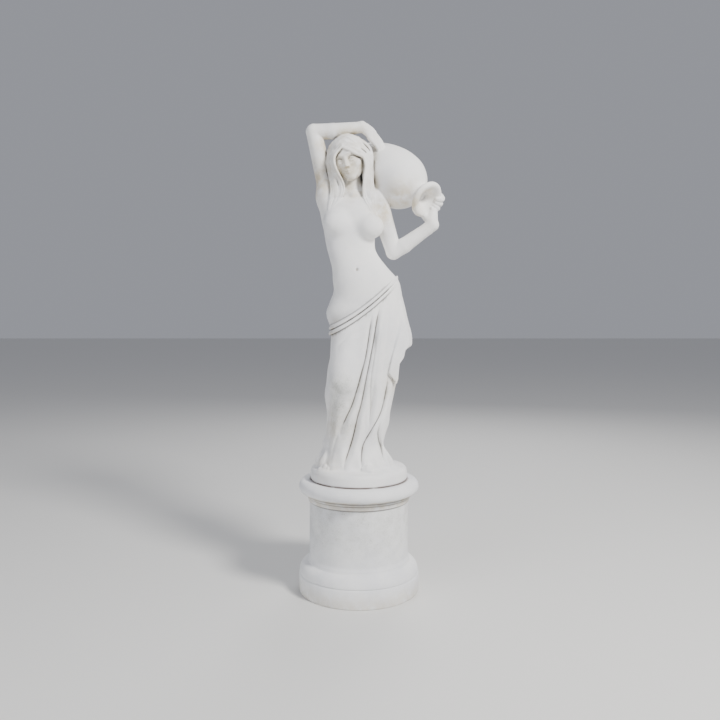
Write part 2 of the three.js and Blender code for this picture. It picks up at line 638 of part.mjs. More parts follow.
/** Edge collapse by quadric error down to a number of triangles. The surface stays closed. */
function simplify({ points, faces }, target, careAt) {
  const quadric = points.map(() => new Float64Array(10));
  const around = points.map(() => new Set());
  const normalOf = (f, swap = -1, with_ = null) => {
    const [a, b, c] = f.map((v) => (v === swap ? with_ : points[v]));
    const [u, v] = [minus(b, a), minus(c, a)];
    return [u[1] * v[2] - u[2] * v[1], u[2] * v[0] - u[0] * v[2], u[0] * v[1] - u[1] * v[0]];
  };
  faces.forEach((f, i) => {
    const n = normalOf(f);
    const area = hypot(...n) || 1e-12;
    const [x, y, z] = n.map((v) => v / area);
    const w = -(x * points[f[0]][0] + y * points[f[0]][1] + z * points[f[0]][2]);
    const care = area * careAt(points[f[0]]);
    const terms = [x * x, x * y, x * z, x * w, y * y, y * z, y * w, z * z, z * w, w * w];
    for (const v of f) {
      around[v].add(i);
      terms.forEach((term, k) => (quadric[v][k] += term * care));
    }
  });
  const errorAt = (q, [x, y, z]) =>
    q[0] * x * x + q[4] * y * y + q[7] * z * z + q[9] +
    2 * (q[1] * x * y + q[2] * x * z + q[3] * x + q[5] * y * z + q[6] * y + q[8] * z);
  const neighbours = (v) => {
    const found = new Set();
    for (const f of around[v]) for (const w of faces[f]) if (w !== v) found.add(w);
    return found;
  };
  const version = new Uint32Array(points.length);
  const heap = [];
  const less = (a, b) => heap[a].cost < heap[b].cost;
  const swap = (a, b) => ([heap[a], heap[b]] = [heap[b], heap[a]]);
  const push = (item) => {
    heap.push(item);
    for (let i = heap.length - 1; i > 0 && less(i, (i - 1) >> 1); i = (i - 1) >> 1) swap(i, (i - 1) >> 1);
  };
  const pop = () => {
    const best = heap[0];
    const last = heap.pop();
    if (heap.length) {
      heap[0] = last;
      for (let i = 0; ; ) {
        let low = i;
        for (const child of [2 * i + 1, 2 * i + 2]) if (child < heap.length && less(child, low)) low = child;
        if (low === i) break;
        swap(i, low);
        i = low;
      }
    }
    return best;
  };
  const offer = (a, b) => {
    const q = quadric[a].map((v, k) => v + quadric[b][k]);
    const m = new THREE.Matrix3().set(q[0], q[1], q[2], q[1], q[4], q[5], q[2], q[5], q[7]);
    const middle = points[a].map((v, k) => (v + points[b][k]) / 2);
    const tries = [points[a], points[b], middle];
    if (abs(m.determinant()) > 1e-3 * q[0] * q[4] * q[7] + 1e-9) {
      const best = new THREE.Vector3(-q[3], -q[6], -q[8]).applyMatrix3(m.invert()).toArray();
      if (hypot(...minus(best, middle)) < 2 * hypot(...minus(points[a], points[b]))) tries.push(best);
    }
    const costs = tries.map((t) => errorAt(q, t));
    const pick = costs.indexOf(min(...costs));
    push({ a, b, at: tries[pick], cost: max(costs[pick], 0), stamp: version[a] + version[b] });
  };
  for (let v = 0; v < points.length; v++) for (const w of neighbours(v)) if (w > v) offer(v, w);
  let left = faces.length;
  while (left > target && heap.length) {
    const { a, b, at, stamp } = pop();
    if (!around[a].size || !around[b].size || stamp !== version[a] + version[b]) continue;
    const nearA = neighbours(a);
    const shared = [...neighbours(b)].filter((v) => nearA.has(v));
    if (shared.length !== 2) continue;
    const turned = [a, b].some((v) => [...around[v]].some((f) => {
      if (faces[f].includes(a) && faces[f].includes(b)) return false;
      const before = normalOf(faces[f]);
      const after = normalOf(faces[f], v, at);
      const agree = before[0] * after[0] + before[1] * after[1] + before[2] * after[2];
      return agree < 0.3 * hypot(...before) * hypot(...after);
    }));
    if (turned) continue;
    points[a] = at;
    for (const f of [...around[b]]) {
      if (faces[f].includes(a)) {
        for (const v of faces[f]) around[v].delete(f);
        left--;
      } else {
        faces[f] = faces[f].map((v) => (v === b ? a : v));
        around[a].add(f);
      }
    }
    around[b].clear();
    quadric[a] = quadric[a].map((v, k) => v + quadric[b][k]);
    version[a] += 1 + version[b];
    for (const v of neighbours(a)) offer(a, v);
  }
  const kept = new Set();
  around.forEach((set) => set.forEach((f) => kept.add(f)));
  return { points, faces: [...kept].map((f) => faces[f]) };
}

// Solids

function solidOfFaces({ points, faces }) {
  const geometry = new THREE.BufferGeometry();
  geometry.setAttribute("position", new THREE.Float32BufferAttribute(points.flat(), 3));
  geometry.setIndex(faces.flat());
  return solidOf(geometry);
}

function solidOf(geometry) {
  const bare = geometry.clone();
  bare.deleteAttribute("normal");
  bare.deleteAttribute("uv");
  const merged = mergeVertices(bare, 1e-3);
  return new wasm.Manifold(new wasm.Mesh({
    numProp: 3,
    vertProperties: new Float32Array(merged.attributes.position.array),
    triVerts: new Uint32Array(merged.index.array),
  }));
}

function geometryOf(solid) {
  const mesh = solid.getMesh();
  const geometry = new THREE.BufferGeometry();
  geometry.setAttribute("position", new THREE.BufferAttribute(mesh.vertProperties, 3));
  geometry.setIndex(new THREE.BufferAttribute(mesh.triVerts, 1));
  return geometry;
}

/** A turned solid from its outline, given from the underside's centre outwards and up to the top's centre. */
function turned(outline) {
  return new THREE.LatheGeometry(outline.map(([r, z]) => new THREE.Vector2(r, z)), ROUND_SIDES).rotateX(PI / 2);
}

/** Points on a quarter or half round of a moulding, from one angle to another. */
function arc([r, z], radiusR, radiusZ, from, to, steps) {
  return Array.from({ length: steps + 1 }, (_, i) => {
    const a = from + ((to - from) * i) / steps;
    return [r + radiusR * cos(a), z + radiusZ * sin(a)];
  });
}

function plinthOutline() {
  const capBottom = PLINTH_HEIGHT - CAP_THICK;
  const bullnose = CAP_THICK / 2;
  return [
    [0, 0],
    [FOOT_RADIUS - 4, 0],
    [FOOT_RADIUS, 5],
    [FOOT_RADIUS, FOOT_HEIGHT],
    ...arc([FOOT_RADIUS - 26, FOOT_HEIGHT + 3], 24, 34, 0, 1.35, 4),
    [DRUM_RADIUS + 6, FOOT_HEIGHT + 40],
    [DRUM_RADIUS + 2, FOOT_HEIGHT + 52],
    [DRUM_RADIUS, FOOT_HEIGHT + 56],
    [DRUM_RADIUS - 2, capBottom - 26],
    [DRUM_RADIUS + 3, capBottom - 24],
    [DRUM_RADIUS + 5, capBottom - 12],
    [DRUM_RADIUS + 9, capBottom - 10],
    [DRUM_RADIUS + 11, capBottom],
    ...arc([CAP_RADIUS - bullnose, PLINTH_HEIGHT - bullnose], bullnose, bullnose, -PI / 2, PI / 2, 7),
    [0, PLINTH_HEIGHT],
  ];
}

function baseOutline() {
  return [
    [0, PLINTH_HEIGHT],
    [BASE_RADIUS - 3, PLINTH_HEIGHT],
    [BASE_RADIUS - 2, PLINTH_HEIGHT + 6],
    [BASE_RADIUS, BASE_TOP - 12],
    ...arc([BASE_RADIUS - 9, BASE_TOP - 9], 9, 9, 0, PI / 2, 3),
    [0, BASE_TOP],
  ];
}

function castStone(name, geometry) {
  const stone = new THREE.MeshStandardMaterial({ color: 0xe4e3de, roughness: 0.9, metalness: 0 });
  const mesh = new THREE.Mesh(geometry, stone);
  mesh.name = name;
  return mesh;
}

/** The face and the hands keep smaller triangles than the rest. */
function careAt(p) {
  const face = ball(p, [HEAD[0] - 12, HEAD[1] - 40, HEAD[2] - 18], 56);
  const hands = min(ball(p, [50, 6, 1492], 50), ball(p, [250, -24, 1255], 50));
  return 1 + 9 * ease(-face / 20 + 1) + 3 * ease(-hands / 20 + 1);
}

const figure = solidOfFaces(simplify(polygonise(figureField, FIGURE_BOX, CELL), FIGURE_TRIANGLES, careAt));
const figureOnBase = figure.add(solidOf(turned(baseOutline())));

const statue = new THREE.Group();
statue.add(castStone("figure", geometryOf(figureOnBase)));
statue.add(castStone("plinth", turned(plinthOutline())));

export default statue;
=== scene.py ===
import math

import bpy
import numpy as np
from mathutils import Euler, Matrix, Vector


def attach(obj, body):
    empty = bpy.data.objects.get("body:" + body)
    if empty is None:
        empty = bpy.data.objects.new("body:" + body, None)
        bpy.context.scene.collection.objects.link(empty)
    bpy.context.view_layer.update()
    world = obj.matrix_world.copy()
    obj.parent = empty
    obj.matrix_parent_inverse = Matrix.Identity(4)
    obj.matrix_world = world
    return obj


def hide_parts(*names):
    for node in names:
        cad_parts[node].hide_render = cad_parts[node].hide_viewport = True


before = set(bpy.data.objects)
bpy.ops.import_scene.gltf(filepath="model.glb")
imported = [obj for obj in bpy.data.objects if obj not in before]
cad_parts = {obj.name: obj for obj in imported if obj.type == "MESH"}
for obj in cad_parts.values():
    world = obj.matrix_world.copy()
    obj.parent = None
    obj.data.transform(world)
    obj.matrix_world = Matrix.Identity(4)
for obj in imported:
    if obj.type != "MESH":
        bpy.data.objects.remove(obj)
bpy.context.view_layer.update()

MM = 0.001

# Driving dimensions in millimetres, in the frame of the solids: +Z up, the figure looks along -Y
PLINTH_HEIGHT = 375
CAP_RADIUS = 200
CAP_THICK = 44
DRUM_RADIUS = 166
FOOT_RADIUS = 201
FOOT_HEIGHT = 62
BASE_RADIUS = 161
BASE_HEIGHT = 42
BASE_TOP = PLINTH_HEIGHT + BASE_HEIGHT
SPIN_STEPS = 144
JOINT_DIRT = 7

# The carved surface: cell of the field, triangles kept, and the box that holds the figure
CELL = 2.6
FIGURE_TRIANGLES = 190000
FIGURE_LOW = (-196, -172, PLINTH_HEIGHT - 6)
FIGURE_HIGH = (286, 176, 1566)
# Where the carving is finest: centre and radius of the head, the two hands, the feet and the band
FINE_CARVING = [((-24, -30, 1382), 135), ((238, -8, 1262), 85), ((40, 8, 1495), 60), ((-30, -85, 440), 110),
                ((-30, -80, 925), 90), ((60, -70, 985), 75)]

# Landmarks of the pose. Left and right are the figure's own, so its right is at -X
HEAD = (-31, -9, 1421)
HEAD_TURN = Euler((0.16, -0.25, -0.26), "XYZ")
NECK_BASE = (-20, 10, 1298)
RIGHT_SHOULDER = (-98, 14, 1306)
RIGHT_ELBOW = (-147, 6, 1516)
RIGHT_BULGE = (-84, 4, 1518)
RIGHT_WRIST = (8, 0, 1530)
LEFT_SHOULDER = (60, 18, 1304)
LEFT_ELBOW = (115, 6, 1128)
LEFT_BULGE = (149, 0, 1148)
LEFT_WRIST = (226, -16, 1202)
LEFT_HEEL = (240, -20, 1213)
TRAPEZIUS = (-22, 22, 1318)
JUG_NECK = (198, 0, 1313)
JUG_AXIS = (0.69, -0.45, -0.57)
MOUTH_AXIS = (0.6, -0.62, -0.505)
KNEE = (-50, -76, 706)
SHIN = (-54, -64, 660)
ANKLE = (-66, -40, 470)

# Torso sections: height, centre x, centre y, half width, half depth
TORSO = [
    (870, 22, 2, 112, 74),
    (925, 20, 2, 127, 82),
    (962, 24, 1, 120, 79),
    (1000, 29, -2, 111, 72),
    (1035, 22, -4, 107, 68),
    (1075, 3, -4, 91, 61),
    (1114, -17, -1, 81, 56),
    (1140, -26, 2, 79, 55),
    (1190, -30, 6, 84, 60),
    (1235, -29, 8, 90, 63),
    (1275, -28, 10, 95, 60),
    (1310, -26, 13, 90, 48),
    (1340, -24, 14, 66, 36),
]
TORSO_TOP = 1326
TORSO_FLOOR = 860
BREASTS = [(-73, -40, 1216), (38, -42, 1205)]

# Skirt sections below the band: height, centre x, centre y, half width, half depth
SKIRT = [
    (425, -14, -8, 126, 98),
    (440, -14, -8, 124, 96),
    (458, -14, -8, 112, 92),
    (478, -16, -6, 100, 86),
    (500, -18, -5, 97, 80),
    (520, -11, -4, 97, 78),
    (560, -2, -4, 102, 80),
    (600, 1, -4, 103, 82),
    (658, 3, -4, 112, 84),
    (700, 10, -4, 113, 85),
    (740, 13, -3, 112, 86),
    (780, 22, -2, 114, 88),
    (818, 29, 0, 115, 89),
    (857, 35, 0, 114, 89),
    (890, 35, 0, 112, 89),
    (940, 26, 0, 117, 87),
    (1000, 27, -2, 107, 76),
    (1050, 26, -4, 99, 68),
]
# The band's upper edge sags across the hips: height at x = 0, slope, sag, upright width, relief, and the
# share of an upright measure that lies square to the band
BAND_HEIGHT = 940
BAND_SLOPE = 0.7
BAND_SAG = 0.0014
BAND_WIDE = 33
BAND_PROUD = 9
BAND_SLANT = 0.82

# Grooves of the cloth seen from the front: depth, half width, then points (x, z) from the top down
FRONT_FOLDS = [
    (11, 7, [(43, 932), (23, 793), (8, 733), (-10, 668), (-24, 626), (-40, 592), (-60, 548)]),
    (13, 7, [(69, 958), (57, 899), (47, 839), (36, 779), (22, 708), (8, 636), (-4, 592), (-21, 518),
             (-47, 440)]),
    (8, 9, [(62, 905), (52, 800), (40, 721), (38, 621), (32, 560)]),
    (11, 7, [(94, 740), (90, 688), (71, 605), (39, 546), (14, 500), (9, 468), (8, 432)]),
    (9, 6, [(78, 602), (62, 542), (65, 510), (74, 480), (82, 440)]),
    (5, 9, [(100, 985), (92, 880), (82, 770), (72, 670)]),
    (4, 8, [(84, 945), (62, 810), (46, 680), (34, 585)]),
    (6, 9, [(24, 640), (22, 598), (20, 540)]),
    (4, 7, [(62, 894), (-6, 866), (-40, 846), (-66, 822)]),
    (6, 12, [(-70, 690), (-86, 600), (-96, 500), (-110, 440)]),
    (5, 10, [(-44, 640), (-62, 560), (-82, 490), (-92, 436)]),
]
BACK_FOLD_COUNT = 9
BACK_FOLD_DEEP = 10
BACK_FOLD_WIDE = 0.14
HEM_WAVE = 3

# The loose end of the cloth that hangs from the left hip
FLAP_TOP = 1036
FLAP_TIP = 818
FLAP_PROUD = 29
FLAP_SCALLOP = 9
FLAP_INNER = [(94, 737), (109, 813), (122, 890), (124, 1040)]
FLAP_HEM = [(80, 742), (95, 737), (112, 712), (126, 694), (132, 762), (146, 781), (151, 804), (180, 822)]
FLAP_BACK_HEM = [(80, 690), (110, 690), (127, 694), (132, 762), (146, 781), (151, 804), (180, 822)]

# Hair on the right and on the left of the parting: strands fan out between the line along the face and the
# line behind it, from the parting to the tips
HAIR = [
    ([(-56, -60, 1452), (-75, -60, 1428), (-78, -57, 1407), (-69, -54, 1379),
      (-54, -50, 1352), (-47, -44, 1324), (-58, -44, 1295), (-80, -44, 1272)],
     [(-44, 24, 1500), (-88, 4, 1476), (-101, -10, 1432), (-100, -18, 1389),
      (-92, -28, 1349), (-89, -36, 1315), (-96, -36, 1289), (-99, -36, 1266)]),
    ([(-54, -60, 1454), (-36, -65, 1443), (-9, -64, 1431), (14, -54, 1423), (22, -48, 1398),
      (18, -48, 1361), (13, -42, 1321), (18, -40, 1289), (36, -40, 1262)],
     [(-38, 24, 1500), (2, 4, 1492), (34, -8, 1465), (45, -14, 1434), (44, -18, 1402),
      (42, -22, 1367), (48, -28, 1331), (55, -32, 1304), (56, -36, 1272)]),
]
# Hair down the back, level by level: centre x, half width, centre y, half depth, height
HAIR_BACK = [
    (-41, 12, 14, 0, 1490),
    (-34, 58, 10, 46, 1462),
    (-30, 64, 4, 60, 1410),
    (-28, 58, 4, 58, 1360),
    (-26, 50, 6, 60, 1318),
    (-26, 40, 8, 62, 1284),
]
HAIR_BACK_THICK = [6, 10, 11, 10, 9, 7]
HAIR_BACK_EDGE = 0.45
HAIR_STRANDS = 10
HAIR_BACK_STRANDS = 11
# A strand's radius as a share of the space between strands, its least and greatest radius, and how it wanders
STRAND_FILL = 0.68
STRAND_THIN = 3.2
STRAND_THICK = 9
STRAND_SWAY = 0.4
STRAND_SPANS = 18
STRAND_CLINGS = 0.8
# The hair behind the strands on either side of the neck: from, to, and the radii
HAIR_SIDES = [
    ((-78, -18, 1430), (-72, -30, 1306), 20, 14),
    ((24, -18, 1430), (36, -22, 1300), 20, 16),
]

# Jug: distance along the body's axis from the neck, and the radius there, then the same for the lip, which
# has its own axis
JUG_BODY = [
    (-272, 34), (-266, 44), (-235, 62), (-190, 82), (-138, 94),
    (-100, 95), (-62, 88), (-30, 69), (-9, 46), (6, 37),
]
JUG_LIP = [(-20, 36), (-8, 40), (4, 39), (12, 40), (24, 50), (34, 60), (48, 61)]
JUG_MOUTH_FLOOR = 8
JUG_MOUTH_RADIUS = 20
JUG_MOUTH_FLARE = 0.9
JUG_THROAT = 22

# Feet: heel, toe, and the side of the big toe
FEET = [
    ((34, -50, 434), (28, -111, 431), 1),
    ((-70, -40, 432), (-108, -74, 427), -1),
]
FINGER_RADIUS = 7.5

# Dirt and painted shade in the carving, darker where the surface is closed in: how far each kind looks out
# from the surface for open space
DIRT_AND_SHADE_REACH = [("crease_dirt_and_shade", 3.5), ("hollow_dirt_and_shade", 18)]
# Thin dark lines of dirt and painted groove shade: how far each fades out to the side, and the lines along
# the band as a share of its width, with their strength
FOLD_LINE_REACH = 5
BAND_LINE_REACH = 4
BAND_LINES = [(0, 0.6), (0.5, 1), (1, 0.8)]

# Weathering and painted shade by place: centre and reach in millimetres, and strength
# Ochre stains, partly painted shade under the raised arm, the jug, the chin and the breasts
OCHRE_STAINS_AND_SHADE = [
    ((-126, -14, 1358), 58, 1.0),
    ((-112, -10, 1478), 36, 0.8),
    ((-30, -16, 1498), 60, 0.5),
    ((-34, -62, 1392), 56, 0.75),
    ((-16, -40, 1326), 38, 0.8),
    ((30, -46, 1350), 40, 0.4),
    ((138, -56, 1276), 64, 1.0),
    ((82, -16, 1256), 44, 1.0),
    ((222, -40, 1292), 34, 0.9),
    ((200, -40, 1232), 30, 0.6),
    ((-88, -60, 880), 30, 0.7),
    ((-104, -70, 560), 60, 0.5),
    ((-110, -70, 440), 50, 0.5),
    ((110, -50, 700), 40, 0.5),
]
# Grey-green film, partly the painted shadow under the knee and down the shin
GREEN_FILM_AND_KNEE_SHADE = [
    ((-58, -116, 690), 40, 0.9),
    ((-66, -110, 636), 44, 1.0),
    ((-84, -100, 572), 46, 0.8),
    ((-40, -100, 560), 40, 0.5),
    ((24, -86, 690), 32, 0.5),
]


# Field tools. Points are three arrays, and a field is negative inside the stone, in millimetres

def mix(a, b, t):
    return a + (b - a) * t


def clamp01(t):
    return np.clip(t, 0, 1)


def ease(t):
    t = np.clip(t, 0, 1)
    return t * t * (3 - 2 * t)


def length3(x, y, z):
    return np.sqrt(x * x + y * y + z * z)


def blend(a, b, k):
    """Union of two fields with a fillet of about k."""
    h = np.maximum(k - np.abs(a - b), 0) / k
    return np.minimum(a, b) - h * h * (k / 4)


def trim(a, b, k):
    """Intersection of two fields with an edge rounded by about k."""
    return -blend(-a, -b, k)


def ball(p, c, r):
    return length3(p[0] - c[0], p[1] - c[1], p[2] - c[2]) - r


def limb(p, a, b, ra, rb):
    """A tapered rod with round ends."""
    bx, by, bz = b[0] - a[0], b[1] - a[1], b[2] - a[2]
    x, y, z = p[0] - a[0], p[1] - a[1], p[2] - a[2]
    t = np.clip((x * bx + y * by + z * bz) * (1 / (bx * bx + by * by + bz * bz)), 0, 1)
    return length3(x - t * bx, y - t * by, z - t * bz) - (ra + (rb - ra) * t)


def egg(p, c, r):
    """An ellipsoid with half axes r."""
    x, y, z = (p[0] - c[0]) / r[0], (p[1] - c[1]) / r[1], (p[2] - c[2]) / r[2]
    near = length3(x, y, z)
    slope = length3(x / r[0], y / r[1], z / r[2]) + 1e-9
    return near * (near - 1) / slope


def table(rows):
    """Smooth values between the rows of a table whose first column is the height."""
    data = np.array(rows, np.float32)
    height = data[:, 0]
    values = data[:, 1:]
    slope = np.empty_like(values)
    slope[1:-1] = (values[2:] - values[:-2]) / (height[2:] - height[:-2])[:, None]
    slope[0] = (values[1] - values[0]) / (height[1] - height[0])
    slope[-1] = (values[-1] - values[-2]) / (height[-1] - height[-2])

    def at(z):
        z = np.clip(z, height[0], height[-1])
        i = np.clip(np.searchsorted(height, z) - 1, 0, len(height) - 2)
        span = height[i + 1] - height[i]
        t = (z - height[i]) / span
        out = []
        for k in range(values.shape[1]):
            m1 = slope[i, k] * span
            m2 = slope[i + 1, k] * span
            rise = values[i + 1, k] - values[i, k]
            out.append(values[i, k] + t * (m1 + t * (3 * rise - 2 * m1 - m2 + t * (m1 + m2 - 2 * rise))))
        return out

    return at


def stack(p, section, squareness, swell=0):
    """A stack of rounded cross sections: the distance to its side, level by level."""
    cx, cy, wide, deep = section
    dx = p[0] - cx
    dy = p[1] - cy
    reach = (np.abs(dx / wide) ** squareness + np.abs(dy / deep) ** squareness) ** (1 / squareness) + 1e-6
    r = np.sqrt(dx * dx + dy * dy)
    return r - r / reach - swell


def curve_points(path, spans):
    """Points on a smooth curve through the path (centripetal, as even as the path's own spacing)."""
    ends = [2 * Vector(path[0]) - Vector(path[1])] + [Vector(p) for p in path]
    ends.append(2 * Vector(path[-1]) - Vector(path[-2]))
    out = []
    for i in range(spans + 1):
        u = i / spans * (len(path) - 1)
        k = min(int(u), len(path) - 2)
        t = u - k
        a, b, c, d = ends[k:k + 4]
        out.append(0.5 * (2 * b + (c - a) * t + (2 * a - 5 * b + 4 * c - d) * t * t
                          + (3 * b - a - 3 * c + d) * t * t * t))
    return out


def tapered(radii, spans):
    """Radii along a rod from its root, middle and tip."""
    root, middle, tip = radii
    out = []
    for i in range(spans + 1):
        t = i / spans
        if t < 0.5:
            out.append(mix(root, middle, float(ease(t * 2))))
        else:
            out.append(mix(middle, tip, (t * 2 - 1) ** 1.5))
    return out


def pieces_of(points, sizes):
    return [(points[i], points[i + 1], sizes[i], sizes[i + 1]) for i in range(len(points) - 1)]


def rod(path, radii, spans=14):
    """A smooth rod along a path, as short tapered pieces."""
    return pieces_of(curve_points(path, spans), tapered(radii, spans))


def along_rod(p, pieces, margin=8):
    """The field of a rod. Away from the rod it is the distance to the box around it."""
    ends = np.array([tuple(piece[0]) for piece in pieces] + [tuple(pieces[-1][1])])
    wide = max(max(piece[2], piece[3]) for piece in pieces)
    low = ends.min(0) - wide
    high = ends.max(0) + wide
    gaps = [np.maximum(np.maximum(low[axis] - p[axis], p[axis] - high[axis]), 0) for axis in range(3)]
    out = length3(*gaps)
    near = out < margin
    if near.any():
        q = [c[near] for c in p]
        best = np.full(q[0].shape, 1e3, np.float32)
        for a, b, ra, rb in pieces:
            best = np.minimum(best, limb(q, a, b, ra, rb))
        out[near] = best
    return out


def within(centre, radius, field):
    """Skips a detailed field away from the sphere that holds it."""
    margin = 40

    def limited(p):
        out = ball(p, centre, radius)
        near = out <= margin
        if near.any():
            out[near] = field([c[near] for c in p])
        return out

    return limited


def in_batches(field, points, size=300000):
    out = np.empty(len(points), np.float32)
    for start in range(0, len(points), size):
        part = points[start:start + size]
        out[start:start + size] = field([part[:, i].astype(np.float32) for i in range(3)])
    return out


def slopes(field, points, step):
    """The field and its gradient at points."""
    here = in_batches(field, points)
    gradient = np.stack([in_batches(field, points + step * np.eye(3)[axis]) - here for axis in range(3)], 1)
    return here, gradient / step


# Torso, arms and hands

torso_at = table(TORSO)


def torso_detail(p):
    d = trim(stack(p, torso_at(p[2]), 2.3), p[2] - TORSO_TOP, 40)
    d = trim(d, TORSO_FLOOR - p[2], 20)
    d = blend(d, limb(p, TRAPEZIUS, RIGHT_SHOULDER, 34, 31), 24)
    d = blend(d, limb(p, TRAPEZIUS, LEFT_SHOULDER, 34, 33), 24)
    for breast in BREASTS:
        d = blend(d, egg(p, breast, (42, 34, 39)), 20)
    d = blend(d, egg(p, (0, -30, 1020), (66, 42, 56)), 30)
    d = blend(d, limb(p, (-88, 6, 1240), RIGHT_SHOULDER, 24, 31), 30)
    for side in ((-92, 4, 1318), (54, 6, 1310)):
        d = blend(d, limb(p, (-20, -34, 1308), side, 6, 7), 12)
    d = trim(d, -limb(p, (-6, -96, 1068), (-6, -64, 1065), 6, 4), 5)
    nape = (HEAD[0] + 5, HEAD[1] + 13, HEAD[2] - 46)
    return blend(d, limb(p, NECK_BASE, nape, 34, 31), 22)


torso_field = within((-5, 5, 1110), 300, torso_detail)


def hand(wrist, along, across, curl, bend, spread, thumb_side):
    """A hand from its wrist: palm, four fingers bent by an amount, and a thumb."""
    origin, u_axis, v_axis, w_axis = Vector(wrist), Vector(along), Vector(across), Vector(curl)

    def at(u, v, w):
        return origin + u_axis * u + v_axis * v + w_axis * w

    fingers = []
    for row in (-1.5, -0.5, 0.5, 1.5):
        v = row * spread
        long = 1 - 0.07 * row * row
        path = [at(44, v, 0), at(44 + 25 * long, v, 7 * bend), at(44 + (50 - 6 * bend) * long, v, 22 * bend),
                at(44 + (68 - 18 * bend) * long, v, 40 * bend)]
        fingers.append(rod(path, (FINGER_RADIUS + 1, FINGER_RADIUS, FINGER_RADIUS - 2), 6))
    thumb_path = [at(8, 14 * thumb_side, 4), at(30, 25 * thumb_side, 12), at(54, 25 * thumb_side, 22)]
    thumb = rod(thumb_path, (10, 9, 6), 5)

    def detail(p):
        d = limb(p, at(0, 0, 0), at(18, 0, 0), 16, 13)
        d = blend(d, limb(p, at(16, -5, 1), at(46, -spread, 1), 10, 8), 8)
        d = blend(d, limb(p, at(16, 5, 1), at(46, spread, 1), 10, 8), 8)
        for finger in fingers:
            d = blend(d, along_rod(p, finger), 3)
        return blend(d, along_rod(p, thumb), 7)

    return within(at(50, 0, 12), 90, detail)


right_hand = hand((11, 0, 1533), (0.716, 0, -0.698), (0.607, 0.455, 0.623), (-0.18, 0.87, -0.46), 0.45, 8, 1)


RIM_UP = Vector((-MOUTH_AXIS[2], 0, MOUTH_AXIS[0])).normalized()
RIM_NEAR = Vector(MOUTH_AXIS).cross(RIM_UP)


def at_rim(degrees, radius, along):
    """A point by the jug's mouth: turned from its upper edge, out from its axis, and along from the neck."""
    a = math.radians(degrees)
    return tuple(Vector(JUG_NECK) + Vector(MOUTH_AXIS) * along
                 + (RIM_UP * math.cos(a) + RIM_NEAR * math.sin(a)) * radius)


def rim_finger(turn):
    """A finger from the palm, over the lip and into the mouth."""
    path = [at_rim(turn + 4, 71, 2), at_rim(turn, 70, 24), at_rim(turn - 2, 64, 44),
            at_rim(turn - 3, 52, 50), at_rim(turn - 3, 40, 44)]
    return rod(path, (10, 9, 7), 8)


rim_fingers = [rim_finger(turn) for turn in (-48, -64, -80, -96)]
rim_thumb = rod([LEFT_HEEL, at_rim(-126, 58, 18), at_rim(-136, 56, 22)], (13, 12, 10), 6)


def left_hand_detail(p):
    upper_palm = limb(p, LEFT_HEEL, at_rim(-58, 72, 0), 17, 11)
    lower_palm = limb(p, LEFT_HEEL, at_rim(-92, 72, 0), 17, 12)
    d = blend(upper_palm, lower_palm, 8)
    for finger in rim_fingers:
        d = blend(d, along_rod(p, finger), 3)
    return blend(d, along_rod(p, rim_thumb), 6)


left_hand = within((240, -5, 1270), 90, left_hand_detail)


def right_arm_detail(p):
    d = limb(p, RIGHT_SHOULDER, RIGHT_ELBOW, 31, 25)
    d = blend(d, limb(p, RIGHT_ELBOW, RIGHT_BULGE, 25, 25), 3)
    d = blend(d, limb(p, RIGHT_BULGE, RIGHT_WRIST, 25, 17), 3)
    return blend(d, right_hand(p), 5)


def left_arm_detail(p):
    d = limb(p, LEFT_SHOULDER, LEFT_ELBOW, 34, 25)
    d = blend(d, limb(p, LEFT_ELBOW, LEFT_BULGE, 25, 25), 4)
    d = blend(d, limb(p, LEFT_BULGE, LEFT_WRIST, 25, 20), 4)
    d = blend(d, limb(p, LEFT_WRIST, LEFT_HEEL, 20, 19), 4)
    return blend(d, left_hand(p), 8)


right_arm = within((-70, 5, 1440), 165, right_arm_detail)
left_arm = within((150, 0, 1210), 170, left_arm_detail)


# Head, in its own frame: x to the figure's left, y to the back, z up, the eyes at z = 0

HEAD_AXES = np.array(HEAD_TURN.to_matrix())


def in_head(p):
    x, y, z = p[0] - HEAD[0], p[1] - HEAD[1], p[2] - HEAD[2]
    return [HEAD_AXES[0, i] * x + HEAD_AXES[1, i] * y + HEAD_AXES[2, i] * z for i in range(3)]


EYE_LIDS = [
    rod([(8, -47, -2), (13, -50.6, 2.2), (19.5, -52.2, 4.2), (26, -49.4, 2.4), (31, -44, -2)],
        (1.5, 2, 1.4), 8),
    rod([(8, -47, -2), (13, -49.8, -5.4), (19.5, -50.8, -7), (26, -48, -5.6), (31, -44, -2)],
        (1.5, 1.7, 1.4), 8),
]
BROW = rod([(5, -50, 12), (12, -51, 16.5), (22, -48, 18), (33, -37, 13)], (3.2, 3.4, 2.4), 8)


